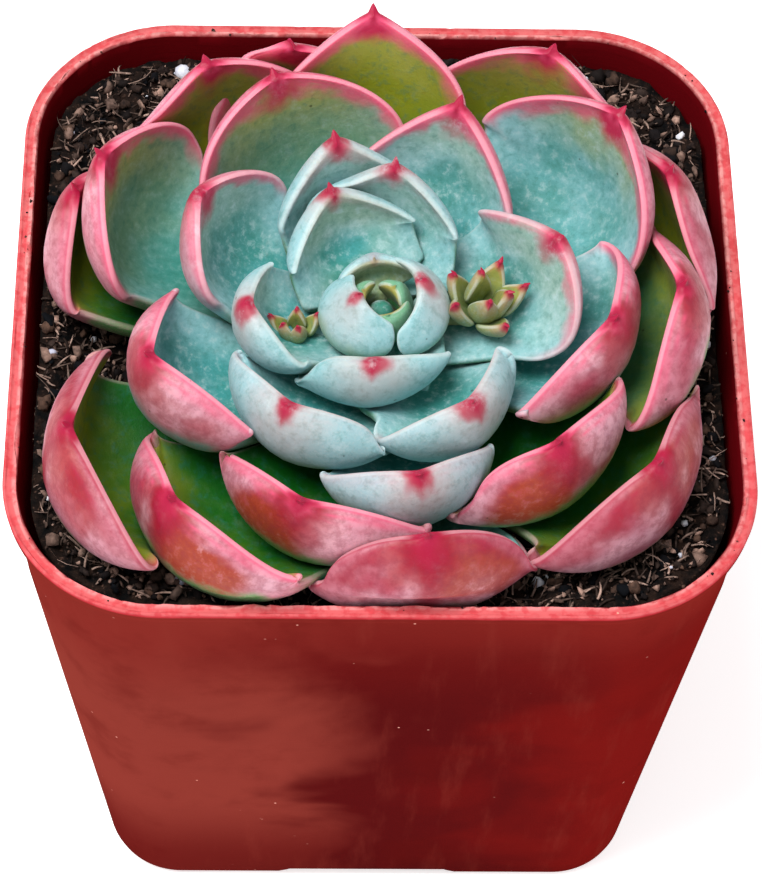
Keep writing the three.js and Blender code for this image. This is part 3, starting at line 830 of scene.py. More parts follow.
def strew_fibres(name, places, long, thick, curl, lift, steep=0.35):
    """Curved strands: long and thick are the least and most length and radius."""
    shape = add_fibre()
    unit = points_of(shape)
    run = unit[:, 0] + 0.5
    copies = []
    for x, y in places:
        length = chance.uniform(*long)
        radius = chance.uniform(*thick)
        turn = chance.uniform(0, 2 * math.pi)
        bend = chance.uniform(-curl, curl)
        slope = chance.uniform(-0.1, steep)
        heading = turn + bend * run
        step = length / FIBRE_STEPS
        sweep = np.linspace(0, 1, FIBRE_STEPS + 1)
        path_x = np.concatenate([[0], np.cumsum(np.cos(turn + bend * sweep[1:]) * step)])
        path_y = np.concatenate([[0], np.cumsum(np.sin(turn + bend * sweep[1:]) * step)])
        arch = lift * np.sin(np.pi * run) * length + slope * run * length
        taper = radius * (1 - FIBRE_TAPER * run ** 2)
        px = np.interp(run, sweep, path_x) - np.sin(heading) * unit[:, 1] * taper
        py = np.interp(run, sweep, path_y) + np.cos(heading) * unit[:, 1] * taper
        pz = arch + unit[:, 2] * taper * FIBRE_FLATNESS
        grown = np.column_stack([x + px, y + py, soil_height(x, y) + pz])
        reach = inside_reach(grown[:, 0], grown[:, 1], SOIL_HALF + 0.1, SOIL_CORNER)
        grown[:, :2] /= np.maximum(reach, 1)[:, None]
        copies.append(grown)
    return mesh_of_copies(name, shape, copies, chance.random(len(places)))


# %% [markdown]
# One finish does for every kind of grain: each grain's own tone picks a colour between a dark and a
# light one, and a power above 1 makes light grains rare, as they are in moist peat.

# %% Finish of the grains
GRAIN_COLORS = {
    "crumbled peat": ((0.002, 0.003, 0.005, 1), (0.120, 0.068, 0.048, 1)),
    "bark chips": ((0.006, 0.004, 0.004, 1), (0.46, 0.29, 0.23, 1)),
    "peat fibre": ((0.014, 0.008, 0.006, 1), (0.56, 0.38, 0.31, 1)),
    "perlite": ((0.50, 0.52, 0.66, 1), (0.92, 0.93, 0.97, 1)),
}


def grain_material(name, roughness, power=1.0):
    """Each grain has its own tone between a dark and a light colour."""
    material, tree, surface = new_material(name)
    tone = math_of(tree, "POWER", parts_of(tree, "grain_tone")[0], power)
    place = millimetres(tree)
    patches = fade(tree, grain(tree, place, 0.5, detail=3), 0.25, 0.7, 0.4, 1.2)
    color = mixed(tree, product(tree, tone, patches), *GRAIN_COLORS[name])
    tree.links.new(color, surface.inputs["Base Color"])
    surface.inputs["Roughness"].default_value = roughness
    surface.inputs["Specular IOR Level"].default_value = 0.15
    bumped(tree, surface, grain(tree, place, 0.18, detail=3, rough=0.6), 0.06)
    return material


# %% [markdown]
# Crumbs lie thickest, with a few on the lip, where potting always leaves some. Chips are flatter
# and longer, fibres lie on top, and perlite, a puffed white mineral, is sparse.

# %% Strew the soil
CRUMBS, CRUMBS_ON_LIP, CHIPS, FIBRES, ROOT_HAIRS, PERLITE = 2300, 46, 5200, 4300, 70, 150


def lip_height(x, y):
    return POT_HEIGHT - 0.22


crumbs = strew_lumps("soil_crumbs", 2, strewn_places(CRUMBS), 0.12, 0.60, 0.95)
on_lip = strew_lumps("lip_crumbs", 1, places_on_lip(CRUMBS_ON_LIP), 0.05, 0.17, 0.9, height=lip_height)
crumbs = join_pieces([crumbs, on_lip], "soil_crumbs")
finish_piece(crumbs, grain_material("crumbled peat", 0.9, 2.2))
chips = strew_lumps("bark_chips", 1, strewn_places(CHIPS), 0.10, 0.50, 0.9, 0.15, 1.7)
finish_piece(chips, grain_material("bark chips", 0.8, 2.4))
short = strew_fibres("peat_fibres", strewn_places(FIBRES), (0.4, 2.2), (0.04, 0.15), 1.0, 0.05)
hairs = strew_fibres("root_hairs", strewn_places(ROOT_HAIRS), (3.5, 7.5), (0.04, 0.07), 2.6, 0.10, 0.30)
fibres = join_pieces([short, hairs], "peat_fibres")
finish_piece(fibres, grain_material("peat fibre", 0.8, 1.9))
perlite = strew_lumps("perlite_grains", 2, strewn_places(PERLITE, 1.0), 0.12, 0.80, 0.5, 0.75)
finish_piece(perlite, grain_material("perlite", 0.7))
for piece in (crumbs, chips, fibres, perlite):
    print(piece.name, "has", len(piece.data.polygons), "faces")

# %% [markdown]
# ## The stem
# Hardly any of the stem shows, but it carries everything. A plain cylinder would look turned on
# a lathe, so it is cut across at even steps and swollen or drawn in at each, with the low rings
# that fallen leaves have left.

# %% Stem
STEM_FOOT = 40.0
STEM_TOP = 65.4
STEM_RADIUS = 3.2
STEM_STEP = 0.8
STEM_SWELL = {STEM_FOOT: 0.55, STEM_FOOT + 8: 0.85, SOIL_LEVEL - 1: 0.98, SOIL_LEVEL + 4: 0.94,
              STEM_TOP - 3: 0.82, STEM_TOP: 0.58}  # height: share of the full radius


def model_stem():
    start_fresh()
    long = STEM_TOP - STEM_FOOT
    middle = Vector((AXIS[0], AXIS[1], STEM_FOOT + long / 2)) * MM
    bpy.ops.mesh.primitive_cylinder_add(vertices=40, radius=STEM_RADIUS * MM, depth=long * MM,
                                        location=middle)
    stem = bpy.context.object
    stem.name = "stem_body"
    bpy.ops.object.transform_apply()
    bpy.ops.object.mode_set(mode="EDIT")
    for z in np.arange(STEM_FOOT + STEM_STEP, STEM_TOP, STEM_STEP):
        bpy.ops.mesh.select_all(action="SELECT")
        bpy.ops.mesh.bisect(plane_co=(0, 0, z * MM), plane_no=(0, 0, 1))
    bpy.ops.object.mode_set(mode="OBJECT")
    points = points_of(stem) / MM
    swell = np.interp(points[:, 2], list(STEM_SWELL), list(STEM_SWELL.values()))
    swell *= 1 + 0.03 * np.sin(points[:, 2] * 3.1) + 0.04 * lumps(points, 1.6, 5)
    points[:, :2] = AXIS[:2] + (points[:, :2] - AXIS[:2]) * swell[:, None]
    move_points(stem, points)
    shade_smooth(stem)
    return stem


def stem_material():
    material, tree, surface = new_material("stem skin")
    place = millimetres(tree)
    color = mixed(tree, grain(tree, place, 1.5, detail=4), (0.10, 0.14, 0.05, 1), (0.36, 0.27, 0.14, 1))
    tree.links.new(color, surface.inputs["Base Color"])
    surface.inputs["Roughness"].default_value = 0.7
    bumped(tree, surface, grain(tree, place, 0.6, detail=3), 0.12)
    return material


stem = model_stem()
finish_piece(stem, stem_material(), "stem")
print("stem:", len(stem.data.polygons), "faces")

# %% [markdown]
# ## The leaves
# Each leaf is a thick, water-filled spoon: narrow at the stem, widest near the end, cupped, with
# a rounded margin and a small red point. It could be sculpted, but thirty of them have to fit
# together, so each follows a few numbers. Those that hardly change lie with the leaf's whorl.

# %% Whorls
ROOT_RADIUS = 1.6
BELLY = 0.7
OPEN_FROM = 0.65
THIN_FROM = 0.7
WHORLS = {
    "heart": dict(root_width=0.5, thick=0.75, wrap=5, widest=0.74, slope_root=10, slope_tip=120,
                  hold_root=1, hold_tip=0.5, edge=0.32, point=0.4, dent=0.05),
    "core": dict(root_width=0.8, thick=1.3, cup=68, widest=0.7, slope_root=2, slope_tip=104,
                 hold_root=0.6, hold_tip=0.5, edge=0.52, point=0.35, dent=0.10),
    "inner": dict(root_width=0.7, thick=1.6, cup=64, widest=0.72, slope_root=-2, slope_tip=104,
                  hold_root=0.64, hold_tip=0.52, edge=0.56, point=0.45, dent=0.13),
    "middle": dict(root_width=0.4, thick=1.8, cup=62, widest=0.72, slope_root=-4, slope_tip=106,
                   hold_root=0.66, hold_tip=0.54, edge=0.56, point=0.9, dent=0.16),
    "outer": dict(root_width=0.3, thick=2.0, cup=58, widest=0.72, slope_root=-5, slope_tip=108,
                  hold_root=0.68, hold_tip=0.56, edge=0.58, point=1.0, dent=0.18),
    "pup": dict(root_width=0.3, thick=0.5, cup=50, widest=0.45, slope_root=20, slope_tip=80,
                hold_root=0.4, hold_tip=0.4, edge=0.3, point=0.6, dent=0.02),
}
POINTED = dict(sharp=2.3, blunt=0.92, widest=0.62, point=1.0)
BUD = dict(slope_tip=110, hold_root=0.4, hold_tip=0.4, wrap=2, marks=0.3, flush=0.0, olive=0.7)
print("whorls:", ", ".join(WHORLS))


def leaf(whorl, turn, reach, height, width, root, **own):
    """A leaf's row: turn and root_turn are in degrees, and reach, height, width and root, which is
    the height of its foot, in millimetres. flush says how pink the underside is, olive how green
    the upper face, streak how strong the crimson fold, and rust how strong the rusty mark is and,
    by its sign, on which side of the end it lies. roll turns the end about the upright."""
    row = dict(root_turn=turn, sharp=2.8, blunt=0.55, flat=0.25, roll=0, keel=0.25, scale=1, marks=1,
               flush=0.5, olive=0.2, rust=0.0, streak=0.0, root_radius=ROOT_RADIUS)
    row.update(WHORLS[whorl], turn=turn, reach=reach, height=height, width=width, root=root)
    row.update(own)
    return row


# %% [markdown]
# Three young leaves and three buds close the heart. The 29 single leaves follow, from the inside
# outward. Each row was read off the photograph, one leaf at a time: where its point lies, how wide
# it is, which way it leans and how far it has blushed.

# %% Leaves of the heart
HEART = [
    leaf("heart", 100, 3.4, 69.7, 9.4, 66, hold_root=0.8, flush=0.05, olive=0.3),
    leaf("heart", 210, 2.1, 70.9, 13, 66, root_turn=216, slope_tip=102, hold_root=1.3, sharp=1.6,
         blunt=0.95, flush=0.12, olive=0.1),
    leaf("heart", 10, 3.1, 70.9, 13, 66, root_turn=-12, slope_tip=102, hold_root=1.3, sharp=1.6,
         blunt=0.95, flush=0.14, olive=0.1),
    leaf("heart", 285, 1.9, 69.0, 5.6, 66.2, **BUD),
    leaf("heart", 165, 1.6, 69.3, 4.2, 66.2, **BUD, point=0.3),
    leaf("heart", 40, 1.4, 69.2, 4.0, 66.2, **BUD, point=0.3),
]

# %% [markdown]
# The single leaves of the core and the inner whorl are small, thick-rimmed and hardly blushed.

# %% Inner leaves
LEAVES = [
    leaf("core", 82, 9.6, 72.6, 15, 64.4, slope_tip=92, **POINTED, flush=0.2, olive=0.0),
    leaf("core", 119, 8.2, 72.1, 15, 64.8, slope_tip=94, **POINTED, flush=0.15, olive=0.15),
    leaf("core", 200, 11.5, 71.4, 13.6, 64.2, slope_tip=102, roll=-8, flush=0.2, olive=0.1),
    leaf("core", 266, 8.9, 70.5, 14.4, 64.5, cup=50, slope_tip=102, flush=0.15, olive=0.1),
    leaf("inner", 10, 15.3, 72, 16, 63.2, cup=36, flat=0.5, slope_tip=82, roll=27, sharp=2.3,
         blunt=0.75, olive=0.1),
    leaf("inner", 107, 12.6, 73, 15, 63.2, slope_tip=90, **POINTED, flush=0.25, olive=0.05),
    leaf("inner", 241, 15.4, 70.6, 19, 62.8, root_turn=246, slope_tip=98, flush=0.35, olive=0.1),
    leaf("inner", 299, 15.1, 70.8, 16.4, 63, root_turn=304, slope_tip=98, roll=14, flush=0.35, olive=0.1),
    leaf("inner", 155, 16.8, 72, 17, 62, slope_tip=90, flush=0.6, olive=0.1),
    leaf("inner", 67, 17.5, 73, 18, 61.8, slope_tip=84, **POINTED, flush=0.7, olive=0.1),
]
INNER_LEAVES = len(LEAVES)
print("inner leaves:", INNER_LEAVES)

# %% [markdown]
# The middle whorl shows both its blue-green cups, behind, and its pink undersides, in front.

# %% Middle leaves
LEAVES += [
    leaf("middle", 279, 19.5, 69.2, 17.6, 61.8, slope_tip=100, roll=4, flush=0.4, olive=0.1),
    leaf("middle", 347, 19.8, 70.3, 22.4, 61.6, root_turn=356, cup=56, slope_tip=104, roll=-17,
         flush=0.75, olive=0.15),
    leaf("middle", 205, 20.8, 70.8, 21.5, 61.2, cup=74, flat=0.05, slope_tip=98, flush=0.75,
         olive=0.1, rust=0.3),
    leaf("middle", 253, 21.8, 67.6, 22, 60.6, root_turn=257, slope_tip=100, roll=-8, flush=0.9,
         olive=0.9, rust=-1),
    leaf("middle", 312, 21.4, 69, 23, 60.4, root_turn=320, slope_tip=104, roll=-17, flush=0.9,
         olive=0.9, rust=-1),
    leaf("middle", 115, 21.1, 72.9, 23, 60.4, slope_tip=84, flat=0.4, flush=0.85, olive=0.55),
]

# %% [markdown]
# The outer leaves are the oldest and have had the most sun: olive above, pink and crimson below.

# %% Outer leaves
LEAVES += [
    leaf("outer", 38, 26.3, 71.9, 24, 60, root_turn=42, slope_tip=88, flush=0.9, olive=0.3),
    leaf("outer", 91, 25.1, 74.4, 19, 59.6, slope_tip=74, hold_tip=0.4, sharp=2.3, blunt=0.95,
         flush=0.9, olive=1),
    leaf("outer", 154, 26.2, 71.4, 20.5, 59.6, widest=0.8, root_turn=150, slope_tip=92, roll=7,
         flush=0.9, olive=0.55, streak=0.6),
    leaf("outer", 0, 25.4, 69.2, 25, 59.2, root_turn=6, slope_tip=110, flush=0.85, olive=0.7, streak=0.4),
    leaf("outer", 279, 23.8, 66.9, 23.5, 58.8, cup=46, roll=-4, flush=1, olive=0.5, rust=0.5, streak=0.8),
    leaf("outer", 231, 26.6, 67.4, 24.5, 58.8, root_turn=247, slope_tip=104, roll=-16, flush=0.9,
         olive=0.9, rust=0.8, streak=0.5),
    leaf("outer", 57, 27.5, 71.7, 22, 58.4, slope_tip=86, hold_tip=0.5, flush=0.9, olive=1),
    leaf("outer", 124, 26.3, 71.2, 22, 58.4, slope_tip=88, flush=0.9, olive=0.9),
    leaf("outer", 324, 28.0, 66.9, 26, 58.2, root_turn=329, slope_tip=106, flush=1, olive=0.9,
         rust=0.4, streak=0.8),
    leaf("outer", 208, 28.9, 67.4, 26.5, 58.2, root_turn=216, widest=0.84, root_width=0.2,
         slope_tip=106, roll=-22, flush=1, olive=0.9, rust=0.3, streak=1),
    leaf("outer", 27, 28, 68.2, 23, 57.8, root_turn=20, slope_tip=108, flush=0.95, olive=0.9),
    leaf("outer", 157, 28, 67.2, 18.5, 57.6, slope_tip=108, flush=0.95, olive=0.8, streak=1),
    leaf("outer", 107, 25, 70.4, 18, 57.6, slope_tip=85, flush=0.9, olive=0.8),
]
print("single leaves:", len(LEAVES))

# %% [markdown]
# The formula takes the same numbers as the solid model: a Bezier midrib from the stem to the
# point, and a width that swells and rounds off. The midrib could be a curve object, but a formula
# gives its places and the way it runs there to every ring at once.

# %% Midrib and width
def direction(turn, slope=0.0):
    turn, slope = np.radians(turn), np.radians(slope)
    level = np.cos(slope)
    return np.stack(np.broadcast_arrays(np.cos(turn) * level, np.sin(turn) * level, np.sin(slope)), -1)


def past_share(s, start):
    return np.clip((s - start) / (1 - start), 0, 1)


def width_share(s, row):
    swelling = np.sin(np.pi / 2 * np.minimum(s / row["widest"], 1)) ** 1.4
    swell = row["root_width"] + (1 - row["root_width"]) * swelling
    closing = (1 - past_share(s, row["widest"]) ** row["sharp"]) ** row["blunt"]
    return np.where(s < row["widest"], swell, closing)


def midrib(row, s, axis):
    """Places along the leaf's midrib, the way it runs there, and its whole length."""
    root = axis + direction(row["root_turn"]) * row["root_radius"]
    tip = axis + direction(row["turn"]) * row["reach"]
    root[2], tip[2] = row["root"], row["height"]
    length = np.linalg.norm(tip - root)
    first = root + direction(row["root_turn"], row["slope_root"]) * length * row["hold_root"]
    second = tip - direction(row["turn"], row["slope_tip"]) * length * row["hold_tip"]
    t = s[:, None]
    place = ((1 - t) ** 3 * root + 3 * (1 - t) ** 2 * t * first + 3 * (1 - t) * t ** 2 * second
             + t ** 3 * tip)
    along = (1 - t) ** 2 * (first - root) + 2 * (1 - t) * t * (second - first) + t ** 2 * (tip - second)
    return place, along / np.linalg.norm(along, axis=1)[:, None], length


# %% [markdown]
# The leaf will start as a sphere whose one pole lies in the stem and whose other pole is the
# point. Its rings are the leaf's cross-sections: more of them lie near the end, where it bends
# most, and the last few make the little point. Each ring gets a place with its two cross axes,
# and then its half width, its cup, its thickness and the radius of its margin.

# %% Rings of a leaf
RINGS = 44
AROUND = 40
POINT_RINGS = 4
POINT_RADIUS = 0.52
POINT_FLARE = 1.1  # how far along the leaf its end begins to draw out into the point
POINT_LEAN = 50.0  # the point leans outward by this from the way the leaf's end runs
RING_CROWDING = 1.35
CUPPED_FROM = 0.55  # the cup grows up to here, from a quarter of it at the root
CUP_AT_ROOT = 0.25
CLOSES_FROM = 0.86


def leaf_frame(row, axis):
    """Each ring's share of the leaf and of its point, its place and its two cross axes."""
    on_point = np.arange(1, POINT_RINGS + 1) / POINT_RINGS
    steps = np.arange(RINGS - POINT_RINGS + 1) / (RINGS - POINT_RINGS)
    s = np.concatenate([1 - (1 - steps) ** RING_CROWDING, np.ones(POINT_RINGS)])
    past = np.concatenate([np.zeros(RINGS - POINT_RINGS + 1), on_point])
    place, along, length = midrib(row, s, axis)
    lean = direction(row["turn"], row["slope_tip"] - POINT_LEAN)
    place = place + lean * (past * row["point"] * row["scale"])[:, None]
    turn = row["root_turn"] + (row["turn"] - row["root_turn"]) * s
    across = direction(turn + 90 + row["roll"] * s)
    across -= along * (across * along).sum(1)[:, None]
    across /= np.linalg.norm(across, axis=1)[:, None]
    return s, past, length, place, across, np.cross(along, across)


def leaf_sizes(row, s, past, length):
    """Half width, cup, thickness and margin radius of each ring, and how far it is from closed."""
    tip_radius = POINT_RADIUS * min(1, row["edge"] / 0.7) * row["scale"] * (1 - past) ** 0.8
    near_tip = np.exp(-((1 - s) * length) / (POINT_FLARE * row["scale"]))
    half = np.hypot(row["width"] / 2 * width_share(s, row) * (past == 0), tip_radius * near_tip)
    half = np.maximum(half, 1e-4)
    cupped = CUP_AT_ROOT + (1 - CUP_AT_ROOT) * np.sin(np.pi / 2 * np.minimum(1, s / CUPPED_FROM))
    cup = np.radians(row.get("cup", 0)) * cupped
    cup = np.maximum(cup * (1 - row["flat"] * past_share(s, OPEN_FROM) ** 2), 1e-3)
    open_share = np.sqrt(1 - past_share(s, CLOSES_FROM) ** 3)
    thick = row["thick"] * (0.75 + 0.25 * np.sin(np.pi * np.minimum(s / 0.9, 1)))
    thick = thick * (1 - 0.45 * past_share(s, THIN_FROM) ** 2) * open_share
    edge = np.minimum(row["edge"] * row["scale"] * (0.5 + 0.5 * open_share), half)
    edge = np.maximum(edge, np.minimum(half, tip_radius))
    return half, cup, thick, edge, open_share


# %% [markdown]
# Each cross-section is a lens with a truly round margin, a low keel below, and soft dents. It is
# bent to an arc, which makes the cup, or wound round an upright axis in the closed heart.

# %% Cross-sections and skin numbers
DENT_LUMPS = 4.2
WAVE_LUMPS = 9.0
KEEL_HALF_WIDTH = 0.16
FACE_DEPTH = 3  # moves the noise of the two faces apart, so that their dents differ
UPRIGHT = np.array([0.0, 0, 1])


def turned_about(vectors, axes, angles):
    """Each vector turned about its own axis (Rodrigues' formula)."""
    c, s = np.cos(angles)[..., None], np.sin(angles)[..., None]
    along = (vectors * axes).sum(-1)[..., None]
    return vectors * c + np.cross(axes, vectors) * s + axes * along * (1 - c)


def rim_distance(s, half, length, x):
    """Distance in millimetres from each place on a leaf to the nearest place on its margin."""
    margin = s > 0.06
    along = (s[:, None] - s[margin][None]) * length
    aside = np.abs(x)[..., None] - half[margin]
    return np.sqrt(along[:, None] ** 2 + aside ** 2).min(-1)


def skin_numbers(row, s, past, length, half, x, n, u):
    """What the skin has to know at each point: where it is, its tints and its marks."""
    same = np.ones_like(x)
    marks = row["marks"] * row["scale"]
    to_tip = np.hypot((1 - s)[:, None] * length, x) - (past * row["point"])[:, None]
    under = 0.5 - 0.5 * np.tanh(3.0 * np.broadcast_to(n, x.shape))
    place = np.stack([same * s[:, None], rim_distance(s, half, length, x) / marks, to_tip / marks], -1)
    tint = np.stack([under, same * row["flush"], same * row["olive"]], -1)
    signs = np.stack([same * row["rust"], same * row["streak"], u * same], -1)
    return ("leaf_place", place), ("leaf_tint", tint), ("leaf_marks", signs)


# %% [markdown]
# Now the numbers become points. Round each ring an angle runs once about the lens; its cosine says
# how far across the leaf a point lies, and its sine on which face.

# %% Surface of a leaf
def leaf_surface(row, axis, seed):
    """Points of a leaf, ring by ring, with what its skin has to know at each of them."""
    s, past, length, place, across, up = leaf_frame(row, axis)
    half, cup, thick, edge, open_share = leaf_sizes(row, s, past, length)
    angle = np.arange(AROUND) / AROUND * 2 * np.pi
    c, n = np.cos(angle)[None], np.sin(angle)[None]
    u = c * (1.5 - 0.5 * c * c)
    side = np.sign(np.round(n, 6))
    lens = 1 - np.abs(u) ** 2.2
    x = (half - edge)[:, None] * u + edge[:, None] * c
    share = np.where(n >= 0, 1 - BELLY, BELLY)
    offset = edge[:, None] * n + side * thick[:, None] * share * lens
    keel = row["keel"] * smoothstep(s, 0.35, 0.8)[:, None] * open_share[:, None]
    offset = offset - keel * np.exp(-(u / KEEL_HALF_WIDTH) ** 2) * (n < 0)
    grid = np.stack([np.broadcast_to(s[:, None] * length, x.shape), x,
                     side * np.ones_like(x) * FACE_DEPTH], -1).reshape(-1, 3)
    dents = lumps(grid, DENT_LUMPS * row["scale"], seed).reshape(x.shape)
    waves = lumps(grid * [1, 1, 0], WAVE_LUMPS * row["scale"], seed + 40).reshape(x.shape)
    offset = offset + row["dent"] * open_share[:, None] * (dents * side * lens + 1.6 * waves)

    if row.get("wrap"):
        points = place[:, None] + up[:, None] * offset[..., None] - axis
        axes = np.broadcast_to(UPRIGHT, points.shape)
        points = turned_about(points, axes, x / row["wrap"]) + axis
    else:
        bend = cup[:, None] * x / half[:, None]
        radius = (half / cup)[:, None]
        out = up[:, None] * np.cos(bend)[..., None] - across[:, None] * np.sin(bend)[..., None]
        points = (place[:, None] + across[:, None] * (radius * np.sin(bend))[..., None]
                  + up[:, None] * (radius * (1 - np.cos(bend)))[..., None] + out * offset[..., None])
    return points, skin_numbers(row, s, past, length, half, x, n, u)


# %% [markdown]
# Leaves that grow side by side don't pass through one another: an older leaf gives way to the
# younger ones that press on it. Rays from the middle of the rosette's cup find how far each
# younger leaf reaches, and whatever part of the older leaf lies nearer is moved out behind it,
# square to the younger leaf's surface, which is the shortest way. The move then fades over the
# rest of the leaf, so that it bends instead of breaking.

# %% Room for the younger leaves
CUP_MIDDLE = Vector((-0.3, -4.5, 80.0))
FAR = 60.0
LEAF_GAP = 0.1
MOST_ROOM = 3.5
LEAST_FACING = 0.35  # a margin that a ray only grazes pushes nothing aside
ROOT_RINGS = 4  # the rings in the stem stay where they are
SPREADS = 70  # how often the move is spread to the places beside it
SPREAD_KEPT = 0.985
grown_leaves = []  # the points of each leaf so far, ring by ring, youngest first


def younger_leaves():
    points, faces, start = [], [], 0
    for grid in grown_leaves:
        rings, spokes = grid.shape[:2]
        points += grid.reshape(-1, 3).tolist()
        for k in range(rings - 1):
            for j in range(spokes):
                a, b = start + k * spokes + j, start + k * spokes + (j + 1) % spokes
                faces.append((a, b, b + spokes, a + spokes))
        start += rings * spokes
    return BVHTree.FromPolygons(points, faces)


def give_way(points):
    """Moves a leaf's points outward where younger leaves need the room."""
    if not grown_leaves:
        return points
    younger = younger_leaves()
    away = points - np.array(CUP_MIDDLE)
    far = np.linalg.norm(away, axis=-1)
    away /= far[..., None]
    needed = np.zeros(points.shape[:2])
    way = np.zeros(points.shape)
    for k in range(ROOT_RINGS, points.shape[0]):
        for j in range(points.shape[1]):
            ray = Vector(away[k, j])
            found, square = younger.ray_cast(CUP_MIDDLE + ray * FAR, -ray, FAR)[:2]
            facing = 0 if found is None else ray.dot(square)
            if abs(facing) > LEAST_FACING:
                deep = (found - CUP_MIDDLE).length + LEAF_GAP - far[k, j]
                needed[k, j] = min(max(deep * abs(facing), 0), MOST_ROOM)
                way[k, j] = square * (1 if facing > 0 else -1)
    mirror = -np.arange(points.shape[1]) % points.shape[1]
    other = needed[:, mirror] > needed
    way = np.where(other[..., None], way[:, mirror], way)
    needed = np.where(other, needed[:, mirror], needed)
    room = way * needed[..., None]
    for _ in range(SPREADS):
        padded = np.pad(room, ((1, 1), (0, 0), (0, 0)), mode="edge")
        beside = (padded[:-2] + padded[2:] + np.roll(room, 1, 1) + np.roll(room, -1, 1)) / 4 * SPREAD_KEPT
        short = np.maximum(needed - (beside * way).sum(-1), 0)
        room = beside + way * short[..., None]
        room[:ROOT_RINGS - 1] = 0
    return points + room


# %% [markdown]
# The outer leaves also have to stay inside the pot's wall, as they would if they had grown there.
# With both moves made, a leaf is put together: a sphere of as many rings as the formula has, its
# points moved to their places, its skin numbers kept on it, and one subdivision to smooth it.

# %% One leaf
def keep_in_pot(points):
    """Draws in what would lie in the pot's wall or lip; higher up a leaf may overhang the lip."""
    half, corner = wall_at(POT_HEIGHT)
    spare = 1.2 - 1.4 * smoothstep(points[..., 2], 60.4, 62.4)
    reach = inside_reach(points[..., 0], points[..., 1], half - spare, corner - 1.0)
    pulled = points.copy()
    pulled[..., :2] /= np.maximum(reach, 1)[..., None]
    return pulled


def model_leaf(name, row, axis, seed, stand=None):
    """Starts from a sphere, moves its rings to the leaf's places and smooths it once."""
    start_fresh()
    bpy.ops.mesh.primitive_uv_sphere_add(segments=AROUND, ring_count=RINGS, radius=1)
    piece = bpy.context.object
    piece.name = name
    ball = points_of(piece)
    ring = np.rint(np.arccos(np.clip(-ball[:, 2], -1, 1)) / np.pi * RINGS).astype(int)
    spoke = np.rint(np.arctan2(ball[:, 1], ball[:, 0]) / (2 * np.pi) * AROUND).astype(int) % AROUND
    points, kept = leaf_surface(row, axis, seed)
    if stand is None and not row.get("wrap"):
        points = keep_in_pot(give_way(points))
    grown_leaves.append(points)
    pole = (ring == 0) | (ring == RINGS)
    placed = np.where(pole[:, None], points.mean(1)[ring], points[ring, spoke])
    if stand is not None:
        placed = placed @ stand[:3, :3].T + stand[:3, 3]
    move_points(piece, placed)
    for attribute, numbers in kept:
        at_points = np.where(pole[:, None], numbers.mean(1)[ring], numbers[ring, spoke])
        keep_numbers(piece, attribute, at_points)
    apply_subdivision(piece, 1)
    shade_smooth(piece)
    return piece


# %% [markdown]
# ## The skin of the leaves
# The skin is waxy and dusted with a pale bloom. Above it is deep green near the stem, partly
# painted shade, blue-green further out and olive near the end, and it blushes pink along the
# margin. Below it flushes from green at the stem to pink, and to crimson round the point. A painted
# picture would do this for one leaf; three attributes tell a node group where on any leaf it is,
# so that one recipe does for all of them. The first colours are the group's inputs, which a finish may
# change.

# %% Colours of the skin
SKIN_COLORS = {
    "Deep green and painted shade": (0.002, 0.100, 0.008, 1),
    "Teal": (0.070, 0.370, 0.390, 1),
    "Pale teal": (0.370, 0.610, 0.660, 1),
    "Olive": (0.220, 0.260, 0.014, 1),
    "Foot green": (0.090, 0.300, 0.060, 1),
    "Mint": (0.300, 0.550, 0.590, 1),
    "Lilac": (0.470, 0.150, 0.210, 1),
    "Pink": (0.440, 0.020, 0.066, 1),
    "Crimson": (0.330, 0.002, 0.024, 1),
    "Rust": (0.380, 0.050, 0.012, 1),
}
UPPER_TONES = {
    "leafy": (0.006, 0.110, 0.006, 1),
    "cloud": (0.060, 0.290, 0.250, 1),
    "painted_hollow_shade": (0.030, 0.230, 0.210, 1),
    "warm": (0.340, 0.350, 0.070, 1),
    "mottle": (0.010, 0.150, 0.110, 1),
    "wax": (0.480, 0.640, 0.660, 1),
    "blush": (0.800, 0.095, 0.210, 1),
    "glow": (0.470, 0.012, 0.065, 1),
}
LOWER_TONES = {
    "shade": (0.090, 0.300, 0.300, 1),
    "pale": (0.800, 0.440, 0.530, 1),
    "frost": (0.560, 0.640, 0.640, 1),
    "pink frost": (0.640, 0.330, 0.410, 1),
    "haze": (0.800, 0.380, 0.330, 1),
    "freckle": (0.260, 0.020, 0.045, 1),
}
SHARED_TONES = {
    "margin": (0.780, 0.090, 0.200, 1),
    "line": (0.640, 0.720, 0.710, 1),
    "pink line": (0.880, 0.560, 0.620, 1),
    "spot": (0.400, 0.006, 0.042, 1),
    "point": (0.380, 0.006, 0.045, 1),
    "dust": (0.70, 0.82, 0.86, 1),
    "dot": (0.03, 0.03, 0.015, 1),
}
print("colours that a finish may change:", len(SKIN_COLORS))


# %% [markdown]
# Everything starts from what is known at a place: the kept numbers, and noise of four sizes. The
# distances to the rim and to the point are made uneven by the noise, because no colour on a leaf
# ends in a clean line.

# %% What the skin reads
CLOUD, MOTTLE, SPECKLE, DRIFT = 2.8, 0.8, 0.22, 6.5  # sizes of the skin's noise


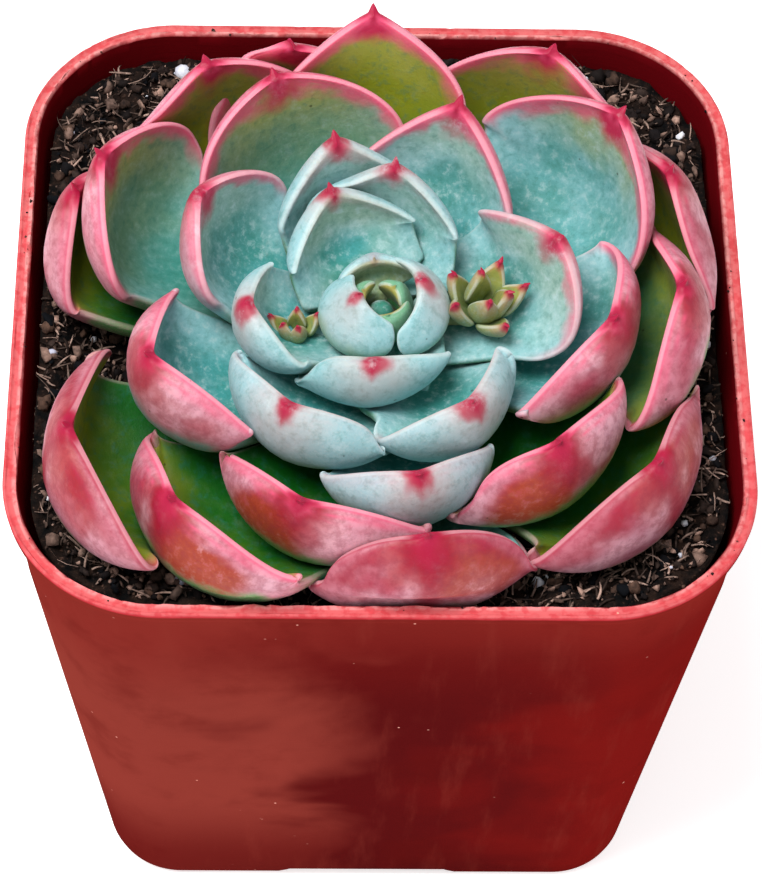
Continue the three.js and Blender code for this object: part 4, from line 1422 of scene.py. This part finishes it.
def read_skin(group):
    """The kept numbers of a place on a leaf, its noise, and how blushed and how fresh it is."""
    on = SimpleNamespace(place=millimetres(group))
    along, on.rim, on.tip = parts_of(group, "leaf_place")
    on.under, on.flush, on.olive = parts_of(group, "leaf_tint")
    on.rust, on.streak, on.across = parts_of(group, "leaf_marks")
    on.cloud = grain(group, on.place, CLOUD)
    on.mottle = grain(group, on.place, MOTTLE, detail=4, rough=0.65)
    on.speckle = grain(group, on.place, SPECKLE, detail=3, rough=0.7)
    on.drift = grain(group, on.place, DRIFT)
    on.along = math_of(group, "ADD", along, fade(group, on.cloud, 0.2, 0.8, -0.05, 0.05))
    on.uneven_rim = math_of(group, "ADD", on.rim, fade(group, on.cloud, 0.25, 0.75, -0.6, 0.6))
    on.uneven_tip = math_of(group, "ADD", on.tip, fade(group, on.cloud, 0.25, 0.75, -0.5, 0.5))
    on.blushing = fade(group, on.flush, 0.05, 0.8, 0.12, 1)
    on.flushed = fade(group, on.flush, 0.30, 0.85)
    on.fresh = fade(group, on.olive, 0.10, 0.80, 1, 0)
    on.aside = math_of(group, "ABSOLUTE", on.across)
    return on


# %% [markdown]
# The upper face lies in layers, as in a water colour: the greens from the stem to the end, soft
# clouds, the pale band inside the rim, a warm end, and last the blush. Each layer is one colour
# and one mask of how far it has come in.

# %% Upper face
def upper_greens(group, given, on):
    """Deep green near the stem, partly painted shade under the younger leaves, then teal, or olive on
    leaves in the sun; painted shade darkens the hollow of the cup.
    """
    tone = UPPER_TONES
    shade_end = math_of(group, "SUBTRACT", math_of(group, "ADD", on.along, 0.06),
                        product(group, on.olive, 0.32))
    sunny = fade(group, on.olive, 0.3, 0.8)
    leafy = mixed(group, sunny, given["Teal"], tone["leafy"])
    top = mixed(group, fade(group, shade_end, 0.06, 0.36), given["Deep green and painted shade"], leafy)
    paler = product(group, fade(group, on.along, 0.34, 0.74), on.fresh, 0.85)
    top = mixed(group, paler, top, given["Pale teal"])
    top = mixed(group, product(group, fade(group, on.along, 0.42, 0.78), sunny), top, given["Olive"])
    clouds = product(group, fade(group, on.drift, 0.40, 0.60, 0, 0.70), on.fresh)
    top = mixed(group, clouds, top, tone["cloud"])
    # painted shade: darker teal in the hollow of the cup, away from the rim
    painted_hollow_shade = product(group, fade(group, on.uneven_rim, 1.5, 5.5), fade(group, on.along, 0.15, 0.40),
                   on.fresh, 0.45)
    return mixed(group, painted_hollow_shade, top, tone["painted_hollow_shade"])


def upper_face(group, given, on):
    tone = UPPER_TONES
    top = upper_greens(group, given, on)
    pale_band = product(group, fade(group, on.uneven_rim, 5.0, 1.0, 0, 0.75), on.fresh)
    top = mixed(group, pale_band, top, given["Mint"])
    warm = product(group, fade(group, on.uneven_tip, 11.0, 3.5), fade(group, on.uneven_rim, 5.5, 1.2),
                   fade(group, on.olive, 0.0, 0.45, 0.25, 0.8))
    top = mixed(group, warm, top, tone["warm"])
    top = mixed(group, fade(group, on.mottle, 0.48, 0.70, 0, 0.35), top, tone["mottle"])
    waxy = product(group, fade(group, on.mottle, 0.50, 0.30, 0, 0.50), on.fresh)
    top = mixed(group, waxy, top, tone["wax"])
    band = math_of(group, "DIVIDE", on.uneven_rim, given["Margin"])
    blush = product(group, fade(group, band, 0.85, 0.15, 0, 0.8), on.blushing,
                    fade(group, on.along, 0.58, 0.92))
    top = mixed(group, blush, top, tone["blush"])
    near_end = math_of(group, "SUBTRACT", on.uneven_tip, product(group, on.flush, 1.6))
    glow = product(group, fade(group, near_end, 1.6, -0.4, 0, 0.95), fade(group, on.flush, 0.02, 0.2))
    return mixed(group, glow, top, tone["glow"])


# %% [markdown]
# The underside is what the front leaves show. Green and mint come first, with painted shade away
# from the rim, then the lilac flush, which is palest at the leaf's ears, where the paleness is painted
# light, and along its brink, then frost and the pink beside the rim.

# %% Underside: the flush
def lower_greens(group, given, on):
    # painted shade: deep green near the stem, partly the leaf's own green
    low = mixed(group, fade(group, on.along, 0.15, 0.50), given["Deep green and painted shade"], given["Foot green"])
    mint = product(group, fade(group, on.along, 0.26, 0.52), fade(group, on.flush, 0.95, 0.60, 0.15, 1),
                   fade(group, on.olive, 0.45, 0.70, 1, 0.3))
    low = mixed(group, mint, low, given["Mint"])
    # painted shade: darker teal away from the rim, mixed with the mottle
    mottle_and_painted_shade = math_of(group, "MAXIMUM", fade(group, on.mottle, 0.45, 0.68, 0, 0.50),
                     fade(group, on.uneven_rim, 2.0, 6.0, 0, 0.75))
    return mixed(group, product(group, mottle_and_painted_shade, mint), low, LOWER_TONES["shade"])


def lower_flush(group, given, on, low):
    """The underside with its flush, and the mask of where the flush lies."""
    tone = LOWER_TONES
    deeper = math_of(group, "SUBTRACT", on.uneven_rim, fade(group, on.flush, 0.92, 1.0, 0, 2.5))
    rosy = product(group, fade(group, deeper, 4.8, 2.4), fade(group, on.along, 0.46, 0.66), on.flushed)
    low = mixed(group, rosy, low, given["Lilac"])
    # painted light: the ears of the flush are painted paler
    ears_painted_light = fade(group, on.aside, 0.35, 0.85, 0, 0.8)
    brink = product(group, fade(group, on.rim, 1.8, 0.4, 0, 0.8), fade(group, on.tip, 2.5, 5.0),
                    fade(group, on.flush, 1.0, 0.9, 0.1, 1))
    pale = math_of(group, "MAXIMUM", fade(group, on.drift, 0.54, 0.42), ears_painted_light)
    pale = math_of(group, "MAXIMUM", pale, brink)
    low = mixed(group, product(group, pale, rosy, 0.85), low, tone["pale"])
    frost = product(group, fade(group, on.speckle, 0.44, 0.66, 0, 0.28),
                    fade(group, on.flush, 0, 0.6, 0.35, 1))
    low = mixed(group, frost, low, mixed(group, on.flushed, tone["frost"], tone["pink frost"]))
    patchy = product(group, fade(group, on.drift, 0.44, 0.60, 0.25, 1),
                     fade(group, pale, 0.3, 1.0, 1, 0.35))
    pink = product(group, fade(group, on.uneven_rim, 4.4, 0.8), rosy, patchy, 0.95)
    return mixed(group, pink, low, given["Pink"]), rosy


# %% [markdown]
# Sun and age leave marks on the outer leaves: a crimson brim, a rusty burn on one side of the
# end, a crimson fold along the midline, and freckles. How strong they are, and on which side the
# burn lies, is kept with each leaf.

# %% Underside: the marks
def lower_marks(group, given, on, low, rosy):
    brim = product(group, fade(group, on.flush, 0.90, 1.0), fade(group, on.uneven_rim, 3.2, 0.8),
                   fade(group, on.aside, 0.98, 0.70, 0.3, 1), rosy, 0.9)
    low = mixed(group, brim, low, given["Crimson"])
    haze = product(group, fade(group, on.uneven_tip, 5.0, 0.8, 0, 0.30), fade(group, on.flush, 0.0, 0.15))
    low = mixed(group, haze, low, LOWER_TONES["haze"])
    beside = product(group, on.across, on.rust)
    burn = product(group, fade(group, beside, -0.12, 0.08), fade(group, beside, 0.78, 0.52),
                   fade(group, on.uneven_rim, 5.4, 3.4), fade(group, on.rim, 0.5, 1.3),
                   fade(group, on.tip, 10.0, 7.5),
                   fade(group, math_of(group, "ABSOLUTE", on.rust), 0.1, 0.7),
                   fade(group, on.mottle, 0.32, 0.52, 0.55, 1))
    low = mixed(group, burn, low, given["Rust"])
    end = product(group, fade(group, on.uneven_tip, 3.6, 1.2), on.flushed, 0.95)
    low = mixed(group, end, low, given["Crimson"])
    fold = product(group, fade(group, on.aside, 0.16, 0.02), on.streak, fade(group, on.along, 0.50, 0.80))
    low = mixed(group, fold, low, given["Crimson"])
    freckles = product(group, fade(group, on.mottle, 0.38, 0.68, 0, 0.45), rosy)
    return mixed(group, freckles, low, LOWER_TONES["freckle"])


# %% [markdown]
# Both faces share the pink margin with its pale line, and the red point, which also shines
# through a little below it.

# %% Margin and point
def margin_and_point(group, given, on, color):
    tone = SHARED_TONES
    margin = product(group, fade(group, on.rim, 0.8, 0.1), fade(group, on.flush, 0.25, 0.8, 0, 1),
                     fade(group, on.along, 0.42, 0.90, 0, 0.75))
    deep = fade(group, on.flush, 0.90, 1.0, 0, 0.85)
    color = mixed(group, margin, color, mixed(group, deep, tone["margin"], given["Crimson"]))
    line = product(group, fade(group, on.rim, 0.24, 0.06), fade(group, on.along, 0.25, 0.6, 0, 0.34),
                   fade(group, on.tip, 0.8, 2.5))
    color = mixed(group, line, color, mixed(group, on.flushed, tone["line"], tone["pink line"]))
    spot = product(group, fade(group, on.uneven_tip, 1.6, 0.5), fade(group, on.flush, 0.02, 0.14, 0, 0.85),
                   on.under)
    color = mixed(group, spot, color, tone["spot"])
    point = product(group, fade(group, on.tip, 0.9, 0.1), fade(group, on.flush, 0.02, 0.14, 0, 0.95))
    return mixed(group, point, color, tone["point"])


# %% [markdown]
# The bloom is a dust of wax. It lies thickest on the young blue leaves and is rubbed off where
# leaves have touched, so a soft noise lets it through in patches.

# %% Bloom and dots
def bloom_and_dots(group, given, on, color):
    tone = SHARED_TONES
    rubbed = fade(group, grain(group, on.place, 1.5, detail=4, rough=0.7), 0.50, 0.80)
    bare = math_of(group, "MAXIMUM", fade(group, on.olive, 0.3, 0.8, 0, 0.75),
                   product(group, on.under, on.flushed, 0.8))
    dust = product(group, rubbed, given["Bloom"], math_of(group, "SUBTRACT", 1.0, bare), 0.45)
    color = mixed(group, dust, color, tone["dust"])
    dots = add_node(group, "ShaderNodeTexVoronoi", {"Vector": on.place, "Scale": 0.42})
    few = fade(group, on.cloud, 0.50, 0.56)
    dot = product(group, fade(group, dots.outputs["Distance"], 0.070, 0.040), few, 0.6)
    return mixed(group, dot, color, tone["dot"])


# %% [markdown]
# The group puts the layers together. Its bump is the same mottle and speckle, so that the relief
# fits the colour.

# %% Leaf skin
def leaf_skin_group():
    sockets = {name: (COLOR, value) for name, value in SKIN_COLORS.items()}
    sockets["Bloom"] = (FLOAT, 0.5)
    sockets["Margin"] = (FLOAT, 2.4)
    group, given, out = new_group("leaf skin", sockets, SURFACE_SOCKETS)
    on = read_skin(group)
    low, rosy = lower_flush(group, given, on, lower_greens(group, given, on))
    low = lower_marks(group, given, on, low, rosy)
    color = mixed(group, on.under, upper_face(group, given, on), low)
    color = bloom_and_dots(group, given, on, margin_and_point(group, given, on, color))
    rough = fade(group, on.mottle, 0.3, 0.7, 0.42, 0.56)
    height = math_of(group, "ADD", product(group, on.speckle, 0.35), on.mottle)
    group_outputs(group, out, Color=color, Roughness=rough, Height=height)
    return group


leaf_skin = leaf_skin_group()
print("nodes in the leaf skin:", len(leaf_skin.nodes))

# %% [markdown]
# Three finishes place the group: bluish inner leaves with more bloom, pinker outer leaves with a
# wide margin, and yellow-green offsets. Light goes a little way into the watery flesh, which the
# surface's subsurface shows, and a weak sheen stands for the waxy dust.

# %% Finishes of the skin
def skin_material(name, bloom, margin, sheen, **colors):
    """One finish of the leaf skin, with its own bloom, width of pink margin and colours."""
    material, tree, surface = new_material(name)
    inputs = {"Bloom": bloom, "Margin": margin}
    inputs.update({socket.replace("_", " "): value for socket, value in colors.items()})
    made = add_node(tree, "ShaderNodeGroup", node_tree=leaf_skin)
    for socket, value in inputs.items():
        made.inputs[socket].default_value = value
    tree.links.new(made.outputs["Color"], surface.inputs["Base Color"])
    tree.links.new(made.outputs["Roughness"], surface.inputs["Roughness"])
    surface.inputs["Specular IOR Level"].default_value = 0.25
    surface.inputs["Subsurface Weight"].default_value = 0.12
    surface.inputs["Subsurface Radius"].default_value = (1.0, 0.5, 0.35)
    surface.inputs["Subsurface Scale"].default_value = MM
    surface.inputs["Sheen Weight"].default_value = sheen
    surface.inputs["Sheen Roughness"].default_value = 0.5
    bumped(tree, surface, made.outputs["Height"], 0.06)
    return material


inner_skin = skin_material("inner leaf skin", 0.8, 1.4, 0.10)
outer_skin = skin_material("outer leaf skin", 0.4, 2.2, 0.02)
offset_skin = skin_material("offset skin", 0.3, 0.8, 0.05, Mint=(0.30, 0.27, 0.13, 1),
                            Teal=(0.20, 0.28, 0.07, 1), Foot_green=(0.22, 0.30, 0.05, 1),
                            Lilac=(0.50, 0.16, 0.14, 1), Pink=(0.68, 0.11, 0.10, 1),
                            Crimson=(0.52, 0.03, 0.03, 1))

# %% [markdown]
# ## The heart
# The youngest leaves are still closed round the growing point. They are made like the others,
# but wrapped round the heart's own upright axis, and joined in one piece on a small core. They
# come first, because all the other leaves make room for them.

# %% Heart
HEART_AXIS = np.array([-0.1, -6.0, 0.0])
HEART_SEED = 60
HEART_CORE_RADIUS = 1.1
CORE_SKIN = [-0.4, 9.0, 9.0]  # as deep green as a leaf's root, and far from any rim or point


def model_heart():
    leaves = [model_leaf(f"heart_leaf_{i}", row, HEART_AXIS, HEART_SEED + i)
              for i, row in enumerate(HEART)]
    start_fresh()
    middle = Vector((HEART_AXIS[0], HEART_AXIS[1], STEM_TOP + GAP + HEART_CORE_RADIUS)) * MM
    bpy.ops.mesh.primitive_uv_sphere_add(segments=24, ring_count=16, radius=HEART_CORE_RADIUS * MM,
                                         location=middle)
    core = bpy.context.object
    bpy.ops.object.transform_apply()
    keep_numbers(core, "leaf_place", np.tile(CORE_SKIN, (len(core.data.vertices), 1)))
    return join_pieces(leaves + [core], "heart_leaves")


heart = model_heart()
finish_piece(heart, inner_skin, "heart")
shade_smooth(heart)
print("heart faces:", len(heart.data.polygons))

# %% [markdown]
# The single leaves now grow round the heart, the youngest first, so that each finds the younger
# ones already there. Where two old leaves of like age meet, the order says which gives way.

# %% Grow the leaves
GROWTH_ORDER = (2, 1, 3, 4, 5, 6, 8, 7, *range(9, 19), 22, 26, 19, 20, 23, 24, 25, 21, 27, 28, 29)
for place in GROWTH_ORDER:
    grown = model_leaf(f"leaf_{place:02d}_flesh", LEAVES[place - 1], AXIS, place)
    if place > INNER_LEAVES:
        finish_piece(grown, outer_skin, f"leaf_{place:02d}")
    else:
        finish_piece(grown, inner_skin, f"leaf_{place:02d}")
print("leaf faces:", len(grown.data.polygons))

# %% [markdown]
# ## The offsets
# Two young rosettes come out between the leaves on short stalks. Each is modelled upright round
# its own foot, by the same leaf formula on a small scale, and is then leaned and set in place
# with one matrix.

# %% Offsets
PUPS = [
    dict(name="offset_right", foot=(8.1, -4.9, 65.0), lean=14, toward=-20, scale=1.0, count=8),
    dict(name="offset_left", foot=(-7.2, -7.4, 65.0), lean=6, toward=200, scale=0.62, count=5),
]
PUP_REACH = 3.3
PUP_HEIGHT = 4.9
PUP_LEAF_WIDTH = 2.9
PUP_ROOT_RADIUS = 0.3
PUP_STALK_RADIUS = 0.8
PUP_STALK_DROP = 0.7
PUP_INNER_LEAVES = 3
PUP_SEED = 80
PUP_FIRST_TURN = 20
PUP_LEAF = dict(marks=0.5, sharp=1.8, blunt=1.0, flush=0.25, olive=0.6)
INNER_SHARES = dict(reach=0.45, height=1.0, foot=0.9)
OUTER_SHARES = dict(reach=1.0, height=0.82, foot=0.3)
GOLDEN_TURN = 137.5  # each new leaf stands this far round from the last, as in most rosettes


def model_pup(pup):
    scale = pup["scale"]
    axis = Vector(direction(pup["toward"] + 90))
    stand = Matrix.Translation(pup["foot"]) @ Matrix.Rotation(math.radians(pup["lean"]), 4, axis)
    stand = np.array(stand)
    leaves = []
    for i in range(pup["count"]):
        share = INNER_SHARES if i >= pup["count"] - PUP_INNER_LEAVES else OUTER_SHARES
        row = leaf("pup", PUP_FIRST_TURN + i * GOLDEN_TURN, PUP_REACH * scale * share["reach"],
                   PUP_HEIGHT * scale * share["height"], PUP_LEAF_WIDTH * scale, share["foot"] * scale,
                   root_radius=PUP_ROOT_RADIUS * scale, scale=0.9 * scale, **PUP_LEAF)
        leaves.append(model_leaf(f"{pup['name']}_{i}", row, np.zeros(3), PUP_SEED + i, stand))
    start_fresh()
    start = Vector((AXIS[0], AXIS[1], pup["foot"][2] - PUP_STALK_DROP))
    run = Vector(pup["foot"]) - start
    middle = start + run * 0.55
    lie = run.to_track_quat("Z", "Y").to_euler()
    bpy.ops.mesh.primitive_cylinder_add(vertices=20, radius=PUP_STALK_RADIUS * scale * MM,
                                        depth=(run.length + 1.2) * MM, location=middle * MM, rotation=lie)
    stalk = bpy.context.object
    bpy.ops.object.transform_apply()
    return join_pieces(leaves + [stalk], f"{pup['name']}_rosette")


for pup in PUPS:
    rosette = model_pup(pup)
    finish_piece(rosette, offset_skin, pup["name"])
    shade_smooth(rosette)
    print(rosette.name, "has", len(rosette.data.polygons), "faces")

# %% [markdown]
# ## Floor
# A large pale sheet lies under the pot. A curved backdrop would do as well; a sheet that glows
# slightly stays pale up to the picture's edge.

# %% Floor
def floor_material():
    material, tree, surface = new_material("pale floor")
    surface.inputs["Base Color"].default_value = (0.97, 0.97, 0.97, 1)
    surface.inputs["Roughness"].default_value = 0.9
    surface.inputs["Emission Color"].default_value = (1, 1, 1, 1)
    surface.inputs["Emission Strength"].default_value = 0.60
    return material


start_fresh()
bpy.ops.mesh.primitive_plane_add(size=3, location=(0, 0, 0))
floor = bpy.context.object
floor.name = "floor_sheet"
floor.data.materials.append(floor_material())
